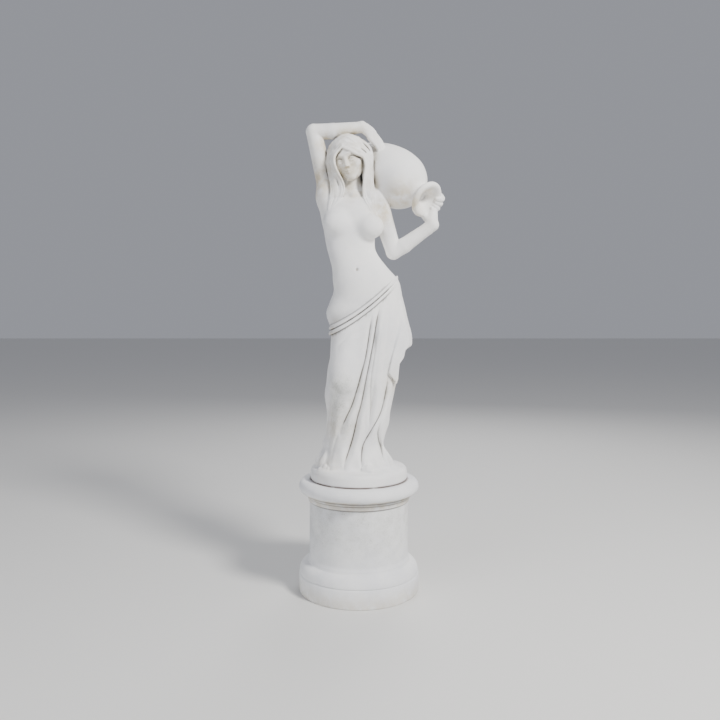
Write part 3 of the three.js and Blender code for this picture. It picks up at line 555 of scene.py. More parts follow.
def face_field(q):
    side = [np.abs(q[0]), q[1], q[2]]
    d = egg(q, (0, 10, 20), (50, 60, 55))
    d = blend(d, egg(q, (0, -10, -12), (42, 43, 52)), 18)
    d = blend(d, limb(side, (27, -4, -30), (6, -36, -53), 14, 11), 14)
    d = blend(d, ball(side, (25, -31, -14), 15), 14)
    d = trim(d, -egg(side, (19, -57, 0), (14, 9, 9)), 8)
    d = blend(d, along_rod(side, BROW), 7)
    d = blend(d, egg(side, (19.5, -42, -1.5), (12, 9.5, 8)), 2)
    for lid in EYE_LIDS:
        d = blend(d, along_rod(side, lid), 2.2)
    d = blend(d, limb(q, (0, -50.5, 11), (0, -61, -18), 3.8, 5.2), 7)
    d = blend(d, ball(side, (5.6, -55, -20), 4.2), 4)
    d = trim(d, -ball(side, (3.6, -58, -25), 1.8), 2)
    d = blend(d, egg(q, (0, -40, -37), (18, 14, 14)), 10)
    d = blend(d, limb(side, (0, -54, -33.8), (13, -48.6, -35.4), 3, 1.4), 2)
    d = blend(d, limb(side, (0, -53, -40.4), (11, -48.6, -37.4), 3.6, 1.6), 2)
    d = trim(d, -limb(side, (0, -58, -37), (14.5, -51, -35.6), 1.3, 0.8), 1.6)
    return blend(d, ball(q, (0, -41, -54), 11), 9)


def hair_cap(q):
    cap = egg(q, (0, 14, 26), (57, 64, 59))
    opening = egg(q, (2, -62, -14), (41, 40, 64))
    return trim(cap, -opening, 8)


def under_hair(p):
    return np.minimum(hair_cap(in_head(p)), torso_field(p))


def laid_on(path, lift, cling):
    """Points sunk in the head or the body, brought out to its surface, and those that cling, brought down."""
    points = np.array([tuple(point) for point in path])
    for _ in range(4):
        here, gradient = slopes(under_hair, points, 0.5)
        steep = np.maximum((gradient ** 2).sum(1), 0.2)
        move = np.where(cling, lift - here, np.maximum(lift - here, 0))
        points = points + (move / steep)[:, None] * gradient
    return [tuple(point) for point in points]


def strand(path, thick, number):
    """One strand along a path. The place of its tip varies with its number."""
    tip = Vector(path[-2]).lerp(Vector(path[-1]), 1 + 0.4 * math.sin(number * 2.4))
    along = np.linspace(0, 1, STRAND_SPANS + 1)
    lift = mix(-3, 2, ease((along - 0.2) / 0.5)) + 1.1 * math.sin(number * 3.3)
    lift = lift - 2.5 * ease((along - STRAND_CLINGS) / 0.2)
    points = laid_on(curve_points([*path[:-1], tuple(tip)], STRAND_SPANS), lift, along > STRAND_CLINGS)
    sizes = []
    for i in range(STRAND_SPANS + 1):
        t = i / STRAND_SPANS
        width = float(np.interp(t * (len(thick) - 1), range(len(thick)), thick))
        sizes.append(width * min(1, 0.5 + t * 2.5) * (1 - 0.6 * max(0, t * 4 - 3) ** 2))
    return pieces_of(points, sizes)


def comb_hair():
    """All the strands: those on either side of the parting, then those down the back."""
    strands = []
    for inner, outer in HAIR:
        apart = [(Vector(a) - Vector(b)).length / (HAIR_STRANDS - 1) for a, b in zip(inner, outer)]
        for i in range(HAIR_STRANDS):
            path = []
            for k, (a, b) in enumerate(zip(inner, outer)):
                u = (i + STRAND_SWAY * math.sin(1.2 * k + 2.2 * i)) / (HAIR_STRANDS - 1)
                path.append(tuple(Vector(a).lerp(Vector(b), min(max(u, 0), 1))))
            vary = 1 + 0.25 * math.sin(i * 4.1)
            thick = [min(max(STRAND_FILL * gap * vary, STRAND_THIN), STRAND_THICK) for gap in apart]
            strands.append(strand(path, thick, len(strands)))
    for i in range(HAIR_BACK_STRANDS):
        u = i / (HAIR_BACK_STRANDS - 1)
        around = mix(HAIR_BACK_EDGE, math.pi - HAIR_BACK_EDGE, u)
        c, s = -math.cos(around), math.sin(around)
        path = [(x + wide * c, y + deep * s, z) for x, wide, y, deep, z in HAIR_BACK]
        strands.append(strand(path, HAIR_BACK_THICK, len(strands)))
    return strands


hair_strands = comb_hair()


def head_detail(p):
    q = in_head(p)
    hair = hair_cap(q)
    for start, end, ra, rb in HAIR_SIDES:
        hair = blend(hair, limb(p, start, end, ra, rb), 10)
    for lock in hair_strands:
        hair = blend(hair, along_rod(p, lock), 2)
    return blend(face_field(q), hair, 2)


head_field = within((-20, 10, 1390), 175, head_detail)


# Jug: a round body with a short neck and a flared mouth, turned about its axis

def from_neck(p, axis):
    """The distance along an axis from the jug's neck, and the distance out from that axis."""
    x, y, z = p[0] - JUG_NECK[0], p[1] - JUG_NECK[1], p[2] - JUG_NECK[2]
    s = x * axis[0] + y * axis[1] + z * axis[2]
    return s, np.sqrt(np.maximum(x * x + y * y + z * z - s * s, 0))


def turned_form(rows):
    """The field of a turned form, from its distance along the axis and out from it."""
    radius_at = table(rows)

    def field(s, r):
        ends = np.maximum(rows[0][0] - s, s - rows[-1][0])
        return trim((r - radius_at(s)[0]) * 0.9, ends, 16)

    return field


jug_body = turned_form(JUG_BODY)
jug_lip = turned_form(JUG_LIP)


def jug_detail(p):
    body = jug_body(*from_neck(p, JUG_AXIS))
    s, r = from_neck(p, MOUTH_AXIS)
    lip = jug_lip(s, r)
    mouth = r - JUG_MOUTH_RADIUS - JUG_MOUTH_FLARE * np.maximum(s - JUG_THROAT, 0)
    return trim(blend(body, lip, 10), -np.maximum(mouth * 0.8, JUG_MOUTH_FLOOR - s), 12)


jug_field = within((110, 30, 1375), 240, jug_detail)


# Drapery

skirt_at = table(SKIRT)
fold_lines = [(deep, wide, path[0][1], path[-1][1], table([(z, x) for x, z in reversed(path)]))
              for deep, wide, path in FRONT_FOLDS]


def band_height(x):
    return BAND_HEIGHT + BAND_SLOPE * x + BAND_SAG * x * x


def beside(p, line):
    """The distance to the right of a line in the front view, square to the line."""
    lean = np.sqrt(1 + ((line(p[2] + 4)[0] - line(p[2] - 4)[0]) / 8) ** 2)
    return (p[0] - line(p[2])[0]) / lean


def fold_at(p, deep, wide, top, end, line):
    """A groove along a path in the front view, deepest on the path, with a low roll on either side."""
    d = beside(p, line)
    fade = ease((top - p[2]) / 60) * ease((p[2] - end + 30) / 60)
    groove = np.exp(-1.5 * np.sqrt((d / wide) ** 2 + 0.01))
    roll = 0.55 * np.exp(-(((d - 2.4 * wide) / (1.7 * wide)) ** 2))
    roll += 0.3 * np.exp(-(((d + 2.6 * wide) / (2 * wide)) ** 2))
    return deep * fade * (roll - groove)


def back_folds(angle, p):
    swell = 0
    for i in range(BACK_FOLD_COUNT):
        place = math.pi / 2 + 0.25 + (i + 0.5) / BACK_FOLD_COUNT * (math.pi - 0.2)
        centre = place + 0.12 * np.sin(i * 2.4 + p[2] / 190)
        d = (angle - centre + math.pi) % (2 * math.pi) - math.pi
        fade = ease((960 - 40 * (i % 3) - p[2]) / 160)
        ridge = 0.5 * np.exp(-(((d - 0.17) / 0.11) ** 2))
        swell = swell + BACK_FOLD_DEEP * fade * (ridge - np.exp(-((d / BACK_FOLD_WIDE) ** 2)))
    return swell


def leg_field(p):
    d = limb(p, (-16, -14, 930), KNEE, 70, 47)
    return blend(d, limb(p, SHIN, ANKLE, 36, 30), 16)


def flap_field(p, section, angle):
    hang = clamp01((FLAP_TOP - p[2]) / (FLAP_TOP - FLAP_TIP))
    spread = ease((angle - 0.5) / 0.7)
    pleat = np.sin(angle * 13) * 3.5 * hang * spread
    edge = np.interp(p[2], [z for _, z in FLAP_INNER], [x for x, _ in FLAP_INNER])
    soft = mix(5, 22, ease((p[2] - 770) / 130))
    lapped = np.where(p[1] < 0, ease((p[0] - edge) / soft), 1)
    swell = (7 * ease((930 - p[2]) / 110) + (FLAP_PROUD - 7) * hang * spread + pleat) * lapped
    outer = stack(p, section, 2.2, swell)
    front_hem = np.interp(p[0], *zip(*FLAP_HEM))
    back_hem = np.interp(p[0], *zip(*FLAP_BACK_HEM))
    hem = np.where(angle < math.pi / 2, front_hem, back_hem)
    hem = hem + FLAP_SCALLOP * (1 + np.sin(p[1] / 9 - 0.6)) * ease((angle - 0.8) / 0.5)
    inner = trim((edge - p[0]) * 0.9, p[1] - 66, 10)
    d = np.maximum(trim(outer, (hem - p[2]) * 0.7, 5), inner)
    return np.maximum(d, p[2] - band_height(p[0]))


def skirt_detail(p):
    section = skirt_at(p[2])
    cx, cy, wide, deep = section
    angle = np.arctan2((p[0] - cx) / wide, -(p[1] - cy) / deep)
    front = ease((np.cos(angle) + 0.1) / 0.35)
    swell = 0
    for fold in fold_lines:
        swell = swell + fold_at(p, *fold)
    hem_waves = HEM_WAVE * np.sin(angle * 15 + p[2] / 40) * ease((500 - p[2]) / 60)
    swell = swell * front + hem_waves + back_folds(np.where(angle < 0, angle + 2 * math.pi, angle), p)
    d = blend(stack(p, section, 2.2), leg_field(p), 20) - swell
    d = blend(d, flap_field(p, section, angle), 4)
    below = band_height(p[0]) - p[2]
    rolls = 0
    for place in (0.25, 0.75):
        across = (below - place * BAND_WIDE) / (0.25 * BAND_WIDE)
        rolls = rolls + np.maximum(1 - across * across, 0) ** 0.6
    d = d - BAND_PROUD * rolls * ease((150 - p[0]) / 70)
    return trim(d, -below * BAND_SLANT, 5)


skirt_field = within((10, 0, 720), 420, skirt_detail)


# Feet under the hem, and the ground they stand on

def feet_detail(p):
    d = np.full(p[0].shape, 1e3, np.float32)
    for heel, toe, side in FEET:
        step = Vector(toe) - Vector(heel)
        ux, uy = step.x / step.length, step.y / step.length
        d = np.minimum(d, limb(p, heel, toe, 21, 10))
        for i in range(5):
            v = (2 - i) * 7 * side
            root = (toe[0] - uy * v, toe[1] + ux * v, toe[2] - 3)
            reach = 13 - 0.6 * i * i
            tip = (root[0] + ux * reach, root[1] + uy * reach, toe[2] - 7)
            d = blend(d, limb(p, root, tip, 6.5, 5.5 if i == 0 else 4.5), 4)
    return d


feet_field = within((-10, -60, 440), 190, feet_detail)


def base_field(p):
    """The round base: a straight side with a rounded top edge, and a low mound under the feet."""
    r = np.sqrt(p[0] * p[0] + p[1] * p[1])
    mound = p[2] - BASE_TOP + 3 - 14 * ease((BASE_RADIUS - 12 - r) / 70)
    side = r - BASE_RADIUS + 2.5 * ease((PLINTH_HEIGHT + 8 - p[2]) / 8)
    disc = trim(trim(side, p[2] - BASE_TOP, 18), PLINTH_HEIGHT - p[2], 1)
    return blend(disc, np.maximum(np.maximum(mound, r - BASE_RADIUS + 9), PLINTH_HEIGHT + 4 - p[2]), 4)


def figure_field(p):
    skin = blend(blend(torso_field(p), right_arm(p), 30), left_arm(p), 18)
    upper = blend(blend(skin, head_field(p), 4), jug_field(p), 5)
    lower = blend(skirt_field(p), feet_field(p), 4)
    whole = blend(np.minimum(upper, lower), base_field(p), 8)
    return np.maximum(whole, PLINTH_HEIGHT - p[2])


# Carving the field: cells are worked out near the surface only

def sampled(field, low, high, cell):
    """The field on a grid. Blocks of cells far from the surface get one value each."""
    block = 4
    count = [math.ceil((high[i] - low[i]) / (cell * block)) for i in range(3)]
    grid = np.empty([n * block for n in count], np.float32)
    blocks = grid.reshape(count[0], block, count[1], block, count[2], block).transpose(0, 2, 4, 1, 3, 5)
    corner = np.stack(np.meshgrid(*[np.arange(n) * block for n in count], indexing="ij"), -1)
    low = np.array(low, float)
    middle_points = low + cell * (corner + (block - 1) / 2)
    middle = in_batches(field, middle_points.reshape(-1, 3)).reshape(count)
    near = np.abs(middle) < cell * block * 1.9
    blocks[...] = middle[..., None, None, None]
    offset = np.stack(np.meshgrid(*[np.arange(block)] * 3, indexing="ij"), -1).reshape(-1, 3)
    points = low + cell * (corner[near][:, None, :] + offset[None])
    blocks[near] = in_batches(field, points.reshape(-1, 3)).reshape(-1, block, block, block)
    return grid


def surface_of(grid, low, cell):
    """Corner points and quads on the grid's zero level, one point in each cell that the surface crosses."""
    inside = grid < 0
    corners = [(i, j, k) for i in (0, 1) for j in (0, 1) for k in (0, 1)]
    nx, ny, nz = [n - 1 for n in grid.shape]
    views = {c: inside[c[0]:c[0] + nx, c[1]:c[1] + ny, c[2]:c[2] + nz] for c in corners}
    some = np.zeros((nx, ny, nz), bool)
    every = np.ones((nx, ny, nz), bool)
    for view in views.values():
        some |= view
        every &= view
    crossed = some & ~every
    cells = np.argwhere(crossed)
    total = np.zeros((len(cells), 3))
    hits = np.zeros(len(cells))
    for a in corners:
        for axis in range(3):
            if a[axis]:
                continue
            b = tuple(a[i] + (i == axis) for i in range(3))
            va = grid[tuple((cells + a).T)]
            vb = grid[tuple((cells + b).T)]
            hit = (va < 0) != (vb < 0)
            t = np.where(hit, va / np.where(hit, va - vb, 1), 0)
            spot = np.array(a, float)[None] + t[:, None] * np.eye(3)[axis]
            total += np.where(hit[:, None], spot, 0)
            hits += hit
    points = np.array(low) + cell * (cells + total / hits[:, None])
    number = np.full((nx, ny, nz), -1, np.int32)
    number[crossed] = np.arange(len(cells))
    quads = []
    for axis in range(3):
        u, v = (axis + 1) % 3, (axis + 2) % 3
        lower = [slice(0, n) for n in grid.shape]
        upper = list(lower)
        lower[axis] = slice(0, -1)
        upper[axis] = slice(1, None)
        before, after = inside[tuple(lower)], inside[tuple(upper)]
        for leaving in (True, False):
            edge = np.argwhere(before & ~after if leaving else ~before & after)
            ring = []
            for du, dv in ((-1, -1), (0, -1), (0, 0), (-1, 0)):
                cell_index = edge.copy()
                cell_index[:, u] += du
                cell_index[:, v] += dv
                ring.append(number[tuple(cell_index.T)])
            quad = np.stack(ring, 1)
            quads.append(quad if leaving else quad[:, ::-1])
    return points, np.concatenate(quads)


def mesh_object(name, points, faces):
    mesh = bpy.data.meshes.new(name)
    mesh.from_pydata(points, [], faces)
    mesh.update()
    piece = bpy.data.objects.new(name, mesh)
    bpy.context.collection.objects.link(piece)
    return piece


def pick(piece):
    bpy.ops.object.select_all(action="DESELECT")
    piece.select_set(True)
    bpy.context.view_layer.objects.active = piece


def settle(points):
    """Brings points onto the carved surface."""
    for _ in range(2):
        here, gradient = slopes(figure_field, points, 0.5)
        steep = np.maximum((gradient ** 2).sum(1), 0.2)
        move = np.clip(here / steep, -0.6 * CELL, 0.6 * CELL)
        points = points - move[:, None] * gradient
    return points


def carve_figure():
    grid = sampled(figure_field, FIGURE_LOW, FIGURE_HIGH, CELL)
    points, quads = surface_of(grid, FIGURE_LOW, CELL)
    piece = mesh_object("figure_cast", settle(points) * MM, quads)
    pick(piece)
    middle = points[quads].mean(1)
    fine = np.zeros(len(quads), bool)
    for centre, radius in FINE_CARVING:
        fine |= ((middle - centre) ** 2).sum(1) < radius ** 2
    bpy.ops.object.mode_set(mode="EDIT")
    bpy.ops.mesh.select_mode(type="FACE")
    bpy.ops.mesh.select_all(action="DESELECT")
    bpy.ops.object.mode_set(mode="OBJECT")
    piece.data.polygons.foreach_set("select", fine)
    bpy.ops.object.mode_set(mode="EDIT")
    bpy.ops.mesh.subdivide(number_cuts=1)
    bpy.ops.object.mode_set(mode="OBJECT")
    points = settle(points_of(piece) / MM) * MM
    piece.data.vertices.foreach_set("co", points.astype(np.float32).ravel())
    piece.data.update()
    keep = piece.modifiers.new("keep", "DECIMATE")
    keep.ratio = FIGURE_TRIANGLES / sum(len(face.vertices) - 2 for face in piece.data.polygons)
    bpy.ops.object.modifier_apply(modifier="keep")
    bpy.ops.object.shade_smooth()
    return piece


def points_of(piece):
    flat = np.empty(len(piece.data.vertices) * 3, np.float32)
    piece.data.vertices.foreach_get("co", flat)
    return flat.reshape(-1, 3)


def store(piece, name, values):
    layer = piece.data.attributes.new(name, "FLOAT", "POINT")
    layer.data.foreach_set("value", np.ascontiguousarray(values, np.float32))


def patches(points, places):
    """The strongest of the soft patches that reach each point."""
    out = np.zeros(len(points))
    for centre, reach, strength in places:
        far = ((points - centre) ** 2).sum(1)
        out = np.maximum(out, strength * np.exp(-far / reach ** 2))
    return out


def evened(piece, values, rounds=3):
    """Values at the points of a mesh, averaged with their neighbours so that lines of dirt and painted shade
    run on.
    """
    edges = np.empty(len(piece.data.edges) * 2, np.int32)
    piece.data.edges.foreach_get("vertices", edges)
    a, b = edges.reshape(-1, 2).T
    count = np.bincount(a, minlength=len(values)) + np.bincount(b, minlength=len(values))
    for _ in range(rounds):
        total = np.bincount(a, values[b], len(values)) + np.bincount(b, values[a], len(values))
        values = 0.4 * values + 0.6 * total / np.maximum(count, 1)
    return values


def cloth_lines(p):
    """How near the closest sharp line of the cloth is, and the distance beside it, times that nearness."""
    near = np.zeros(len(p[0]))
    side = np.zeros(len(p[0]))
    front = ease(-p[1] / 20)
    # Dark lines of dirt and painted groove shade along the folds
    for deep, _, top, end, line in fold_lines:
        d = beside(p, line)
        reach = ease((top - p[2]) / 70) * ease((p[2] - end + 10) / 50)
        here = reach * front * clamp01((deep - 4) / 8) * np.exp(-((d / FOLD_LINE_REACH) ** 2))
        near += here
        side += here * d
    # Painted shade with dirt along the edges and middle of the band
    below = band_height(p[0]) - p[2]
    for place, strength in BAND_LINES:
        d = (below - place * BAND_WIDE) * BAND_SLANT
        here = strength * front * ease((140 - p[0]) / 70) * np.exp(-((d / BAND_LINE_REACH) ** 2))
        near += here
        side += here * d
    return near, side


def weather_figure(piece):
    """Stores how deep in the carving each point lies, for the dirt and painted shade, and where the dark
    lines, the stains and the painted shade under things are.
    """
    points = points_of(piece) / MM
    normals = np.empty(len(points) * 3, np.float32)
    piece.data.vertices.foreach_get("normal", normals)
    normals = normals.reshape(-1, 3)
    slope = (in_batches(figure_field, points + normals) - in_batches(figure_field, points - normals)) / 2
    # Painted shade with dirt in creases and hollows: weaker near the base, stronger round the head
    dirt_and_shade_weight = mix(0.3, 0.7, ease((points[:, 2] - BASE_TOP - 10) / 30))
    dirt_and_shade_weight = dirt_and_shade_weight + 0.8 * patches(points, [(HEAD, 110, 1)])
    for name, reach in DIRT_AND_SHADE_REACH:
        open_space = in_batches(figure_field, points + normals * reach) / (reach * np.maximum(slope, 0.3))
        store(piece, name, evened(piece, np.clip(1 - open_space, 0, 1)) * dirt_and_shade_weight)
    near, side = cloth_lines(points.T)
    store(piece, "line_near", near)
    store(piece, "line_side", side)
    # Painted shade under things: the ochre is stronger on surfaces that face down
    underside_shade = 0.75 - 0.45 * normals[:, 2]
    store(piece, "stain_and_shade", patches(points, OCHRE_STAINS_AND_SHADE) * underside_shade)
    store(piece, "green_film_and_shade", patches(points, GREEN_FILM_AND_KNEE_SHADE))
    store(piece, "joint", ease((PLINTH_HEIGHT + JOINT_DIRT - points[:, 2]) / JOINT_DIRT))


# Plinth: an outline turned about the axis

def arc(centre, radius_r, radius_z, start, end, steps):
    out = []
    for i in range(steps + 1):
        a = start + (end - start) * i / steps
        out.append((centre[0] + radius_r * math.cos(a), centre[1] + radius_z * math.sin(a)))
    return out


def plinth_outline():
    cap_bottom = PLINTH_HEIGHT - CAP_THICK
    nose = CAP_THICK / 2
    return [
        (0, 0),
        (FOOT_RADIUS - 4, 0),
        (FOOT_RADIUS - 1, 2),
        (FOOT_RADIUS, 5),
        (FOOT_RADIUS, FOOT_HEIGHT - 4),
        (FOOT_RADIUS - 1.5, FOOT_HEIGHT - 1),
        (FOOT_RADIUS - 4.5, FOOT_HEIGHT + 1.5),
        *arc((FOOT_RADIUS - 26, FOOT_HEIGHT + 3), 24, 34, 0, 1.35, 12),
        (DRUM_RADIUS + 6, FOOT_HEIGHT + 40),
        (DRUM_RADIUS + 3.5, FOOT_HEIGHT + 46),
        (DRUM_RADIUS + 2, FOOT_HEIGHT + 52),
        (DRUM_RADIUS, FOOT_HEIGHT + 56),
        (DRUM_RADIUS - 0.4, FOOT_HEIGHT + 62),
        (DRUM_RADIUS - 1, (FOOT_HEIGHT + 56 + cap_bottom - 26) / 2),
        (DRUM_RADIUS - 1.8, cap_bottom - 40),
        (DRUM_RADIUS - 2, cap_bottom - 32),
        (DRUM_RADIUS - 2, cap_bottom - 26),
        (DRUM_RADIUS + 2, cap_bottom - 25.4),
        (DRUM_RADIUS + 3.4, cap_bottom - 23),
        (DRUM_RADIUS + 5, cap_bottom - 13),
        (DRUM_RADIUS + 4, cap_bottom - 11.4),
        (DRUM_RADIUS + 8, cap_bottom - 10.6),
        (DRUM_RADIUS + 9.6, cap_bottom - 8.6),
        (DRUM_RADIUS + 10.6, cap_bottom - 2),
        (DRUM_RADIUS + 10, cap_bottom),
        *arc((CAP_RADIUS - nose, PLINTH_HEIGHT - nose), nose, nose, -math.pi / 2, math.pi / 2, 20),
        (BASE_RADIUS + JOINT_DIRT, PLINTH_HEIGHT),
        (BASE_RADIUS, PLINTH_HEIGHT),
        (BASE_RADIUS - 8, PLINTH_HEIGHT),
        (0, PLINTH_HEIGHT),
    ]


# Quirks of the mouldings, darkened with dirt and painted shade: height, half width and strength
QUIRKS = [
    (PLINTH_HEIGHT - CAP_THICK, 2.8, 0.8),
    (PLINTH_HEIGHT - CAP_THICK - 11, 2, 0.7),
    (PLINTH_HEIGHT - CAP_THICK - 26, 2.2, 0.7),
    (FOOT_HEIGHT + 48, 4, 0.3),
    (FOOT_HEIGHT + 2, 2.5, 0.3),
]


def turn_plinth():
    outline = [(r * MM, 0, z * MM) for r, z in plinth_outline()]
    piece = mesh_object("plinth_cast", outline, [])
    mesh = piece.data
    mesh.edges.add(len(outline) - 1)
    for i in range(len(outline) - 1):
        mesh.edges[i].vertices = (i, i + 1)
    pick(piece)
    bpy.ops.object.mode_set(mode="EDIT")
    bpy.ops.mesh.select_all(action="SELECT")
    bpy.ops.mesh.spin(steps=SPIN_STEPS, angle=2 * math.pi, center=(0, 0, 0), axis=(0, 0, 1))
    bpy.ops.mesh.select_all(action="SELECT")
    bpy.ops.mesh.remove_doubles(threshold=1e-5)
    bpy.ops.mesh.normals_make_consistent(inside=False)
    bpy.ops.object.mode_set(mode="OBJECT")
    bpy.ops.object.shade_smooth_by_angle(angle=math.radians(32))
    points = points_of(piece) / MM
    crease_dirt_and_shade = np.zeros(len(points))
    for height, wide, strength in QUIRKS:
        crease_dirt_and_shade = np.maximum(crease_dirt_and_shade, strength * np.exp(-((points[:, 2] - height) / wide) ** 2))
    radius = np.hypot(points[:, 0], points[:, 1])
    on_top = points[:, 2] > PLINTH_HEIGHT - 0.5
    # Painted shade with dirt on the mouldings under the cap's overhang, for the hollow and ochre masks
    under_cap = ease((points[:, 2] - 250) / 70) * (points[:, 2] < PLINTH_HEIGHT - CAP_THICK + 8)
    store(piece, "crease_dirt_and_shade", crease_dirt_and_shade)
    moulded = radius > DRUM_RADIUS + 1
    near_ground = ease((30 - points[:, 2]) / 30)
    store(piece, "hollow_dirt_and_shade", 0.4 * under_cap * moulded)
    store(piece, "stain_and_shade", 0.45 * under_cap * moulded + 0.4 * near_ground)
    store(piece, "green_film_and_shade", 0.45 * ease((points[:, 2] - FOOT_HEIGHT - 50) / 40) * (radius < DRUM_RADIUS + 1))
    store(piece, "joint", 0.7 * on_top * ease((BASE_RADIUS + JOINT_DIRT - radius) / JOINT_DIRT))
    return piece


# Finishes. On the white stone, weathering gives grey specks, ochre where rain doesn't reach, a grey-green
# film, earth in hollows and creases, near-black lines in the sharp folds, and a rusty brown joint. Painted
# shade is mixed into the ochre under things, the film below the knee, the hollows, the creases and the fold
# lines
SPECKS = "#a9aaa4"
OCHRE_AND_SHADE = "#b79f62"
GREEN_FILM_AND_SHADE = "#75785f"
HOLLOW_DIRT_AND_SHADE = "#a89a70"
CREASE_DIRT_AND_SHADE = "#4d4434"
FOLD_LINE_DIRT_AND_SHADE = "#2e2a22"
JOINT_BROWN = "#5d4233"


def linear(code):
    """An sRGB hex colour as linear red, green, blue, alpha."""
    out = []
    for i in (1, 3, 5):
        c = int(code[i:i + 2], 16) / 255
        out.append(c / 12.92 if c <= 0.04045 else ((c + 0.055) / 1.055) ** 2.4)
    return (*out, 1)


def node(tree, kind, settings=None, **links):
    """Adds a shader node, sets its properties and inputs, and links sockets into it."""
    made = tree.nodes.new(kind)
    for key, value in (settings or {}).items():
        setattr(made, key, value)
    for key, value in links.items():
        socket = made.inputs[int(key[1:])] if key[0] == "i" and key[1:].isdigit() else made.inputs[key]
        if isinstance(value, bpy.types.NodeSocket):
            tree.links.new(value, socket)
        else:
            socket.default_value = value
    return made


def cast_stone(name, pale, grey):
    """Matt reconstituted stone: chalky white, faintly mottled, stained ochre where rain doesn't wash it, with
    painted shade in the creases, the hollows, the folds and under things.
    """
    stone = bpy.data.materials.new(name)
    stone.use_nodes = True
    tree = stone.node_tree
    shader = tree.nodes["Principled BSDF"]
    place = node(tree, "ShaderNodeTexCoord").outputs["Object"]

    def noise(size_mm, detail, rough=0.6):
        return node(tree, "ShaderNodeTexNoise", Vector=place, Scale=1 / (size_mm * MM), Detail=detail,
                    Roughness=rough).outputs["Fac"]

    def attribute(layer):
        return node(tree, "ShaderNodeAttribute", {"attribute_name": layer}).outputs["Fac"]

    def maths(operation, a, b):
        return node(tree, "ShaderNodeMath", {"operation": operation}, i0=a, i1=b).outputs[0]

    def ramp(value, low, high):
        return node(tree, "ShaderNodeMapRange", {"interpolation_type": "SMOOTHSTEP"}, Value=value,
                    i1=low, i2=high).outputs[0]

    def mapped(value, low, high, least, most):
        return node(tree, "ShaderNodeMapRange", Value=value, i1=low, i2=high, i3=least, i4=most).outputs[0]

    def tint(under, over, amount):
        made = node(tree, "ShaderNodeMix", {"data_type": "RGBA"}, i0=amount, i6=under, i7=over)
        return made.outputs[2]

    broad = noise(150, 4)
    patchy = noise(32, 6)
    fine = noise(3.6, 4, 0.7)
    colour = tint(linear(pale), linear(grey), maths("MULTIPLY", ramp(broad, 0.4, 0.7), 0.6))
    specks = maths("MULTIPLY", ramp(fine, 0.56, 0.72), ramp(patchy, 0.45, 0.68))
    colour = tint(colour, linear(SPECKS), maths("MULTIPLY", specks, 0.4))
    # Ochre stains with painted shade under things
    ochre_and_shade_mask = maths("MULTIPLY", attribute("stain_and_shade"), ramp(patchy, 0.25, 0.62))
    colour = tint(colour, linear(OCHRE_AND_SHADE), maths("MULTIPLY", ochre_and_shade_mask, 0.8))
    # Grey-green film, on the figure partly the painted shadow under the knee
    green_film_and_shade_mask = maths("MULTIPLY", mapped(patchy, 0.35, 0.65, 0.3, 1), mapped(fine, 0.4, 0.65, 0.4, 1))
    green_film_and_shade_mask = maths("MULTIPLY", green_film_and_shade_mask, attribute("green_film_and_shade"))
    colour = tint(colour, linear(GREEN_FILM_AND_SHADE), maths("MULTIPLY", green_film_and_shade_mask, 0.8))
    # Painted shade with dirt: earth colour in the hollows and near-black in the creases
    hollow_dirt_and_shade_mask = maths("MULTIPLY", ramp(attribute("hollow_dirt_and_shade"), 0.3, 0.9), ramp(patchy, 0.3, 0.65))
    colour = tint(colour, linear(HOLLOW_DIRT_AND_SHADE), maths("MULTIPLY", hollow_dirt_and_shade_mask, 0.45))
    crease_dirt_and_shade_mask = maths("MULTIPLY", ramp(attribute("crease_dirt_and_shade"), 0.14, 0.6), mapped(broad, 0.3, 0.6, 0.5, 1))
    colour = tint(colour, linear(CREASE_DIRT_AND_SHADE), maths("MULTIPLY", crease_dirt_and_shade_mask, 0.75))
    # Thin near-black lines, dirt and painted groove shade, along the folds and the band
    nearness = attribute("line_near")
    aside = maths("ABSOLUTE", maths("DIVIDE", attribute("line_side"), maths("MAXIMUM", nearness, 0.02)), 0)
    fold_line_dirt_and_shade_mask = maths("MULTIPLY", maths("SUBTRACT", 1, ramp(aside, 0.6, 2.6)), ramp(nearness, 0.1, 0.9))
    colour = tint(colour, linear(FOLD_LINE_DIRT_AND_SHADE), maths("MULTIPLY", fold_line_dirt_and_shade_mask, mapped(patchy, 0.25, 0.6, 0.45, 0.85)))
    colour = tint(colour, linear(JOINT_BROWN), maths("MULTIPLY", attribute("joint"), ramp(patchy, 0.2, 0.5)))
    tree.links.new(colour, shader.inputs["Base Color"])
    shader.inputs["Roughness"].default_value = 0.88
    shader.inputs["Specular IOR Level"].default_value = 0.25
    grain = maths("ADD", maths("MULTIPLY", fine, 0.5), maths("MULTIPLY", noise(1.6, 3), 0.5))
    bump = node(tree, "ShaderNodeBump", Height=grain, Strength=0.35, Distance=0.0012)
    tree.links.new(bump.outputs[0], shader.inputs["Normal"])
    return stone


def plain(name, code, rough):
    finish = bpy.data.materials.new(name)
    finish.use_nodes = True
    shader = finish.node_tree.nodes["Principled BSDF"]
    shader.inputs["Base Color"].default_value = linear(code)
    shader.inputs["Roughness"].default_value = rough
    return finish


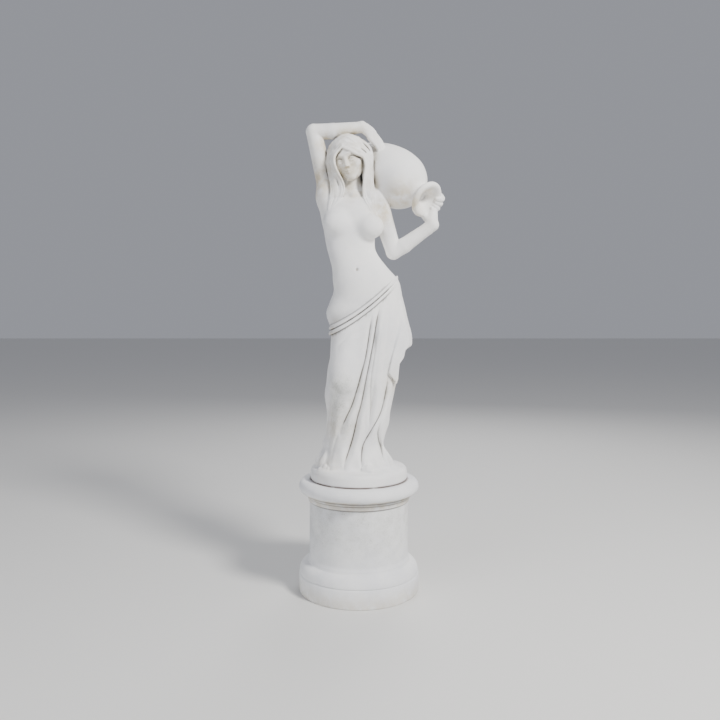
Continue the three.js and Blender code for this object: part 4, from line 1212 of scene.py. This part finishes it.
# The two cast pieces

figure = carve_figure()
weather_figure(figure)
figure.data.materials.append(cast_stone("cast stone, figure", "#f6f5f3", "#e3e3e6"))
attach(figure, "root")
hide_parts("figure")

plinth = turn_plinth()
plinth.data.materials.append(cast_stone("cast stone, plinth", "#f2f2f2", "#dcdde2"))
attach(plinth, "root")
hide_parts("plinth")


# Floor, light and camera. The camera's place is in metres, its lens in millimetres, its tilt in radians

CAMERA_PLACE = (0.004, -2.435, 0.932)
CAMERA_DOWN = 0.066
CAMERA_LENS = 36.75
SENSOR_WIDE = 36

bpy.ops.mesh.primitive_plane_add(size=30, location=(0, 8, 0))
floor = bpy.context.active_object
floor.name = "floor"
floor.data.materials.append(plain("pale floor", "#e2e1de", 0.9))


def area_light(name, place, aim, size, watts, colour):
    lamp = bpy.data.lights.new(name, "AREA")
    lamp.shape = "DISK"
    lamp.size = size
    lamp.energy = watts
    lamp.color = colour
    stand = bpy.data.objects.new(name, lamp)
    stand.location = place
    stand.rotation_euler = (Vector(aim) - Vector(place)).to_track_quat("-Z", "Y").to_euler()
    bpy.context.collection.objects.link(stand)


area_light("key", (2.3, -2.4, 3.3), (0, 0, 0.9), 1.0, 250, (1, 0.985, 0.96))
area_light("fill", (-2.8, -2.6, 1.8), (0, 0, 0.9), 2.4, 50, (0.92, 0.95, 1))
area_light("back", (0.8, 3.2, 3.0), (0, 0, 1.0), 2.0, 60, (1, 1, 1))

world = bpy.data.worlds.new("studio")
bpy.context.scene.world = world
world.use_nodes = True
world.node_tree.nodes["Background"].inputs["Color"].default_value = linear("#e2e5f0")
world.node_tree.nodes["Background"].inputs["Strength"].default_value = 0.42

camera_data = bpy.data.cameras.new("camera")
camera_data.sensor_width = SENSOR_WIDE
camera_data.lens = CAMERA_LENS
camera = bpy.data.objects.new("camera", camera_data)
camera.location = CAMERA_PLACE
camera.rotation_euler = (math.pi / 2 - CAMERA_DOWN, 0, 0)
bpy.context.collection.objects.link(camera)
bpy.context.scene.camera = camera
